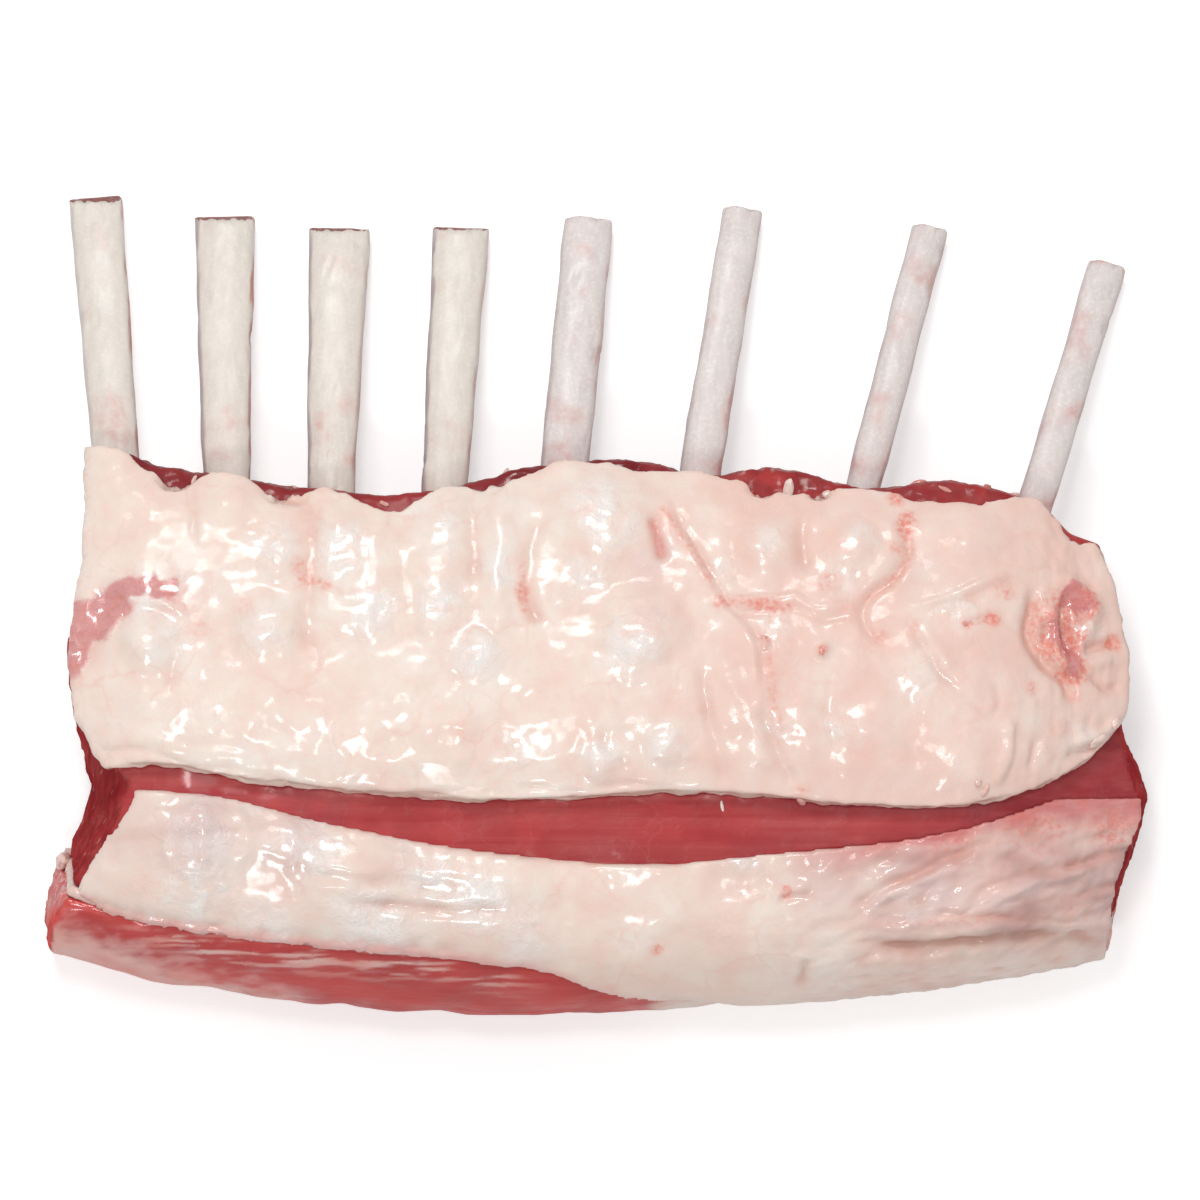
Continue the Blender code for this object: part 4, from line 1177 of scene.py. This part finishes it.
def creaseRims(piece, amount, angle):
    pickOnly(piece)
    bpy.ops.object.mode_set(mode="EDIT")
    bpy.ops.mesh.select_all(action="DESELECT")
    bpy.ops.mesh.select_mode(type="EDGE")
    bpy.ops.mesh.edges_select_sharp(sharpness=math.radians(angle))
    bpy.ops.transform.edge_crease(value=amount)
    bpy.ops.mesh.select_all(action="DESELECT")
    bpy.ops.object.mode_set(mode="OBJECT")


def makeRib(number):
    node = f"rib_{number}"
    rib = freshCopy(node, f"bone_{number}")
    creaseRims(rib, boneSettings["rimCrease"], boneSettings["rimAngle"])
    applyModifier(rib, "SUBSURF", levels=boneSettings["levels"], render_levels=boneSettings["levels"])
    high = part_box(node)[1]
    points = places(rib)
    normals = facings(rib)
    seed = 80 + number
    # a bone is never quite even: slow swellings, and scraped nicks
    height = mm * 0.35 * waver(points, 13 * mm, seed, 2) + mm * 0.06 * waver(points, 3 * mm, seed + 20)
    nicks = ease(waver(points, 4.5 * mm, seed + 40, 2), 0.50, 0.80)
    height -= boneSettings["nick"] * nicks
    tip = ease(points[:, 1], high[1] - 2.0 * mm, high[1] - 0.6 * mm)
    endFace = ease(normals[:, 1], 0.55, 0.8) * ease(points[:, 1], high[1] - 5 * mm, high[1] - 3 * mm)
    points += normals * (height * (1 - 0.7 * tip))[:, None]
    # the saw went through aslant, so that the cut end shows from above
    tipHeight = ease(points[:, 2], 0.0, 7 * mm)
    sawn = number <= boneSettings["marrowOnes"]
    points[:, 1] -= boneSettings["cutLean"] * tip * tipHeight * (1.0 if sawn else 0.2)
    points[:, 2] = np.maximum(points[:, 2], cadBox[0][2])
    movePoints(rib, points)

    # which flank a point is on: +1 right, -1 left
    flank = normals[:, 0]
    warm = number <= boneSettings["warmOnes"]
    wander = waver(points, 7 * mm, seed + 60, 2)
    shown = ease(points[:, 1], 0.0, 20 * mm)
    # painted shade: a purple-grey strip down the left flank, strongest on bones 2 to 4
    flankShade = ease(-flank + 0.25 * wander, 0.62, 0.92) * (0.8 if warm and number > 1 else 0.3)
    rust = ease(flank + 0.3 * wander, 0.78, 1.0) * (0.7 if number < 3 else 0.25)
    foot = ease(0.050 - points[:, 1] + 0.006 * wander, 0.0, 0.020)
    paint(rib, "marrow", endFace * (1.0 if sawn else 0.25))
    paint(rib, "flankShade", flankShade * shown)
    paint(rib, "rust", rust * shown)
    pink = (0.25 if warm else 0.5) * ease(wander, 0.1, 0.7) + 0.35 * foot * ease(wander, -0.2, 0.5)
    pink += 0.4 * ease(-normals[:, 2], 0.2, 0.8)
    if number == boneSettings["pinkTip"]:
        pink += 0.6 * tip
    paint(rib, "pink", pink)
    settle(rib, node, warmBoneMaterial if warm else coolBoneMaterial)


capPiece = makeCap()
loinPiece = makeLoin()
chinePiece = makeChine()
seamPiece = makeSeam()
makeCover([loinPiece, chinePiece, seamPiece])
ribMeatPiece = makeRibMeat()
for boneNumber in range(1, 9):
    makeRib(boneNumber)
print("all pieces made")


# small loose ends: tags of fat and shreds of lean

# place as shares of the cap's box, then length, width and thickness in mm, turn in degrees,
# and how pink a tag is or how pale a shred
tagSettings = {
    "seeds": {"tags": 130, "shreds": 150},
    "tags": [
        ((0.687, 0.022), (3.6, 2.0, 1.1), 80, 0.55), ((0.860, 0.050), (3.0, 1.3, 1.0), 70, 0.50),
        ((0.853, 0.070), (1.5, 1.5, 1.0), 10, 0.45), ((0.612, 0.006), (2.4, 0.7, 0.5), 100, 0.10),
        ((0.968, 0.185), (4.5, 2.2, 1.3), 35, 0.15), ((0.985, 0.235), (3.0, 2.0, 1.2), 60, 0.25),
        ((0.676, 0.880), (4.0, 2.2, 1.0), 78, 0.10), ((0.713, 0.865), (2.2, 1.8, 0.9), 120, 0.15),
        ((0.291, 0.840), (2.2, 1.0, 0.8), 150, 0.60), ((0.110, 0.905), (2.4, 1.0, 0.9), 75, 0.30),
        ((0.205, 0.885), (2.0, 0.9, 0.8), 110, 0.35), ((0.405, 0.945), (2.2, 1.0, 0.8), 60, 0.40),
        ((0.706, 0.432), (1.6, 1.1, 0.8), 95, 0.95), ((0.652, 0.470), (1.3, 0.9, 0.6), 20, 0.75),
        ((0.843, 0.508), (1.2, 0.8, 0.6), 40, 0.80), ((0.900, 0.885), (3.0, 1.2, 0.8), 5, 0.45),
        ((-0.016, -0.160), (7.5, 4.0, 3.4), -14, 0.22),
    ],
    "shreds": [
        ((-0.013, 0.420), (7.5, 2.0, 3.0), 92, 0.0), ((0.800, 0.915), (3.6, 1.4, 0.8), 15, 0.8),
        ((0.825, 0.880), (3.0, 1.0, 0.7), -30, 0.7), ((0.866, 0.885), (2.6, 1.8, 1.0), 60, 0.35),
    ],
}


def looseEnd(place, size, turn, seed, tree):
    # a flattened ball, pulled out of shape and laid on what is under it
    bpy.ops.object.select_all(action="DESELECT")
    bpy.ops.mesh.primitive_ico_sphere_add(subdivisions=4, radius=1.0)
    end = bpy.context.object
    bpy.ops.object.shade_smooth()
    points = places(end)
    points *= 1 + 0.28 * waver(points, 1.1, seed, 2)[:, None]
    points *= np.array(size) * mm / 2
    points[:, 2] += 0.12 * points[:, 0] ** 2 / (size[0] * mm) * (-1 if seed % 2 else 1)
    angle = math.radians(turn)
    spin = Matrix.Rotation(angle, 3, "Z")
    x, y = onBox(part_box("fat_cap"), place)
    hit, normal, index, away = tree.ray_cast(Vector((x, y, 0.1)), Vector((0, 0, -1)))
    if hit is None:
        hit, normal, index, away = tree.find_nearest(Vector((x, y, 0.02)))
        normal = Vector((0, 0, 1))
    if normal.z < 0:
        normal = -normal
    lean = Vector((0, 0, 1)).rotation_difference(normal).to_matrix() @ spin
    points = points @ np.array(lean).T + np.array(hit) + np.array(normal) * size[2] * 0.18 * mm
    movePoints(end, points)
    return end


def makeLooseEnds(kind, pieceName, material, looks, below):
    tree = treeOf(*below)
    ends = []
    for number, (place, size, turn, share) in enumerate(tagSettings[kind]):
        end = looseEnd(place, size, turn, tagSettings["seeds"][kind] + number, tree)
        for name, value in looks(share).items():
            paint(end, name, np.full(len(end.data.vertices), value))
        ends.append(end)
    bpy.ops.object.select_all(action="DESELECT")
    for end in ends:
        end.select_set(True)
    bpy.context.view_layer.objects.active = ends[0]
    bpy.ops.object.join()
    ends[0].name = pieceName
    ends[0].data.materials.append(material)
    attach(ends[0], "root")


def fatLooks(red):
    looks = dict.fromkeys(("raw", "silver", "creaseShade", "shade"), 0.0)
    return {"pink": 0.3 + red, "blush": red, **looks, "wet": 0.6}


def shredLooks(pale):
    return {"vein": 0.0, "haze": pale * 0.5, "dark": 0.3 - 0.3 * pale,
            "bright": 0.4, "pale": pale, "wet": 0.6}


makeLooseEnds("tags", "tagsOfFat", capMaterial, fatLooks,
              [capPiece, loinPiece, ribMeatPiece, seamPiece, chinePiece])
makeLooseEnds("shreds", "shredsOfLean", ribMeatMaterial, shredLooks, [ribMeatPiece, loinPiece])
print("loose ends laid")


# floor, light and camera

floorSettings = {
    "size": 6.0,
    "gap": 0.05 * mm,    # under the lowest point of the rack
    "tone": 0.86,
    "lift": 0.42,        # glow that only the camera sees, so that the floor comes out white
}

# place, size and power; each lamp looks at the middle of the rack
lampSettings = {
    "keySoftbox": ((-0.15, 0.86, 1.02), (0.36, 0.26), 5.0),
    "overSoftbox": ((-0.10, 0.26, 1.34), (0.17, 0.17), 2.9),
    "frontSoftbox": ((-0.20, -0.58, 1.22), (0.20, 0.16), 2.6),
}
roomLight = 0.50


def makeFloor():
    bpy.ops.object.select_all(action="DESELECT")
    level = cadBox[0][2] - floorSettings["gap"]
    bpy.ops.mesh.primitive_plane_add(size=floorSettings["size"], location=(0, 0, level))
    floor = bpy.context.object
    floor.name = "floor"
    material, tree, surface = newMaterial("paleFloor")
    surface.inputs["Base Color"].default_value = (*[floorSettings["tone"]] * 3, 1.0)
    surface.inputs["Roughness"].default_value = 0.9
    surface.inputs["Specular IOR Level"].default_value = 0.1
    camera = addNode(tree, "ShaderNodeLightPath").outputs["Is Camera Ray"]
    surface.inputs["Emission Color"].default_value = (1, 1, 1, 1)
    plug(tree, maths(tree, "MULTIPLY", camera, floorSettings["lift"]), surface.inputs["Emission Strength"])
    floor.data.materials.append(material)


def addLamp(name, place, size, power):
    lamp = bpy.data.lights.new(name, "AREA")
    lamp.shape = "RECTANGLE"
    lamp.size, lamp.size_y = size
    lamp.energy = power
    holder = bpy.data.objects.new(name, lamp)
    bpy.context.scene.collection.objects.link(holder)
    holder.location = place
    holder.rotation_euler = (-Vector(place)).to_track_quat("-Z", "Y").to_euler()


def makeWorld(strength):
    world = bpy.data.worlds.new("softRoom")
    bpy.context.scene.world = world
    world.use_nodes = True
    background = world.node_tree.nodes["Background"]
    background.inputs["Color"].default_value = (1, 1, 1, 1)
    background.inputs["Strength"].default_value = strength


cameraSettings = {
    "height": 2.4,        # above the table, in metres
    "frameWidth": 0.258,  # what the picture takes in at the middle of the rack
}


def makeCamera():
    camera = bpy.data.cameras.new("overhead")
    camera.sensor_width = 36.0
    middle = (cadBox[0][2] + cadBox[1][2]) / 2
    camera.lens = 36.0 * (cameraSettings["height"] - middle) / cameraSettings["frameWidth"]
    camera.clip_end = 10.0
    holder = bpy.data.objects.new("overhead", camera)
    bpy.context.scene.collection.objects.link(holder)
    holder.location = (0.001, 0.0005, cameraSettings["height"])
    bpy.context.scene.camera = holder


makeFloor()
for name, (place, size, power) in lampSettings.items():
    addLamp(name, place, size, power)
makeWorld(roomLight)
makeCamera()
bpy.context.scene.view_settings.view_transform = "Standard"
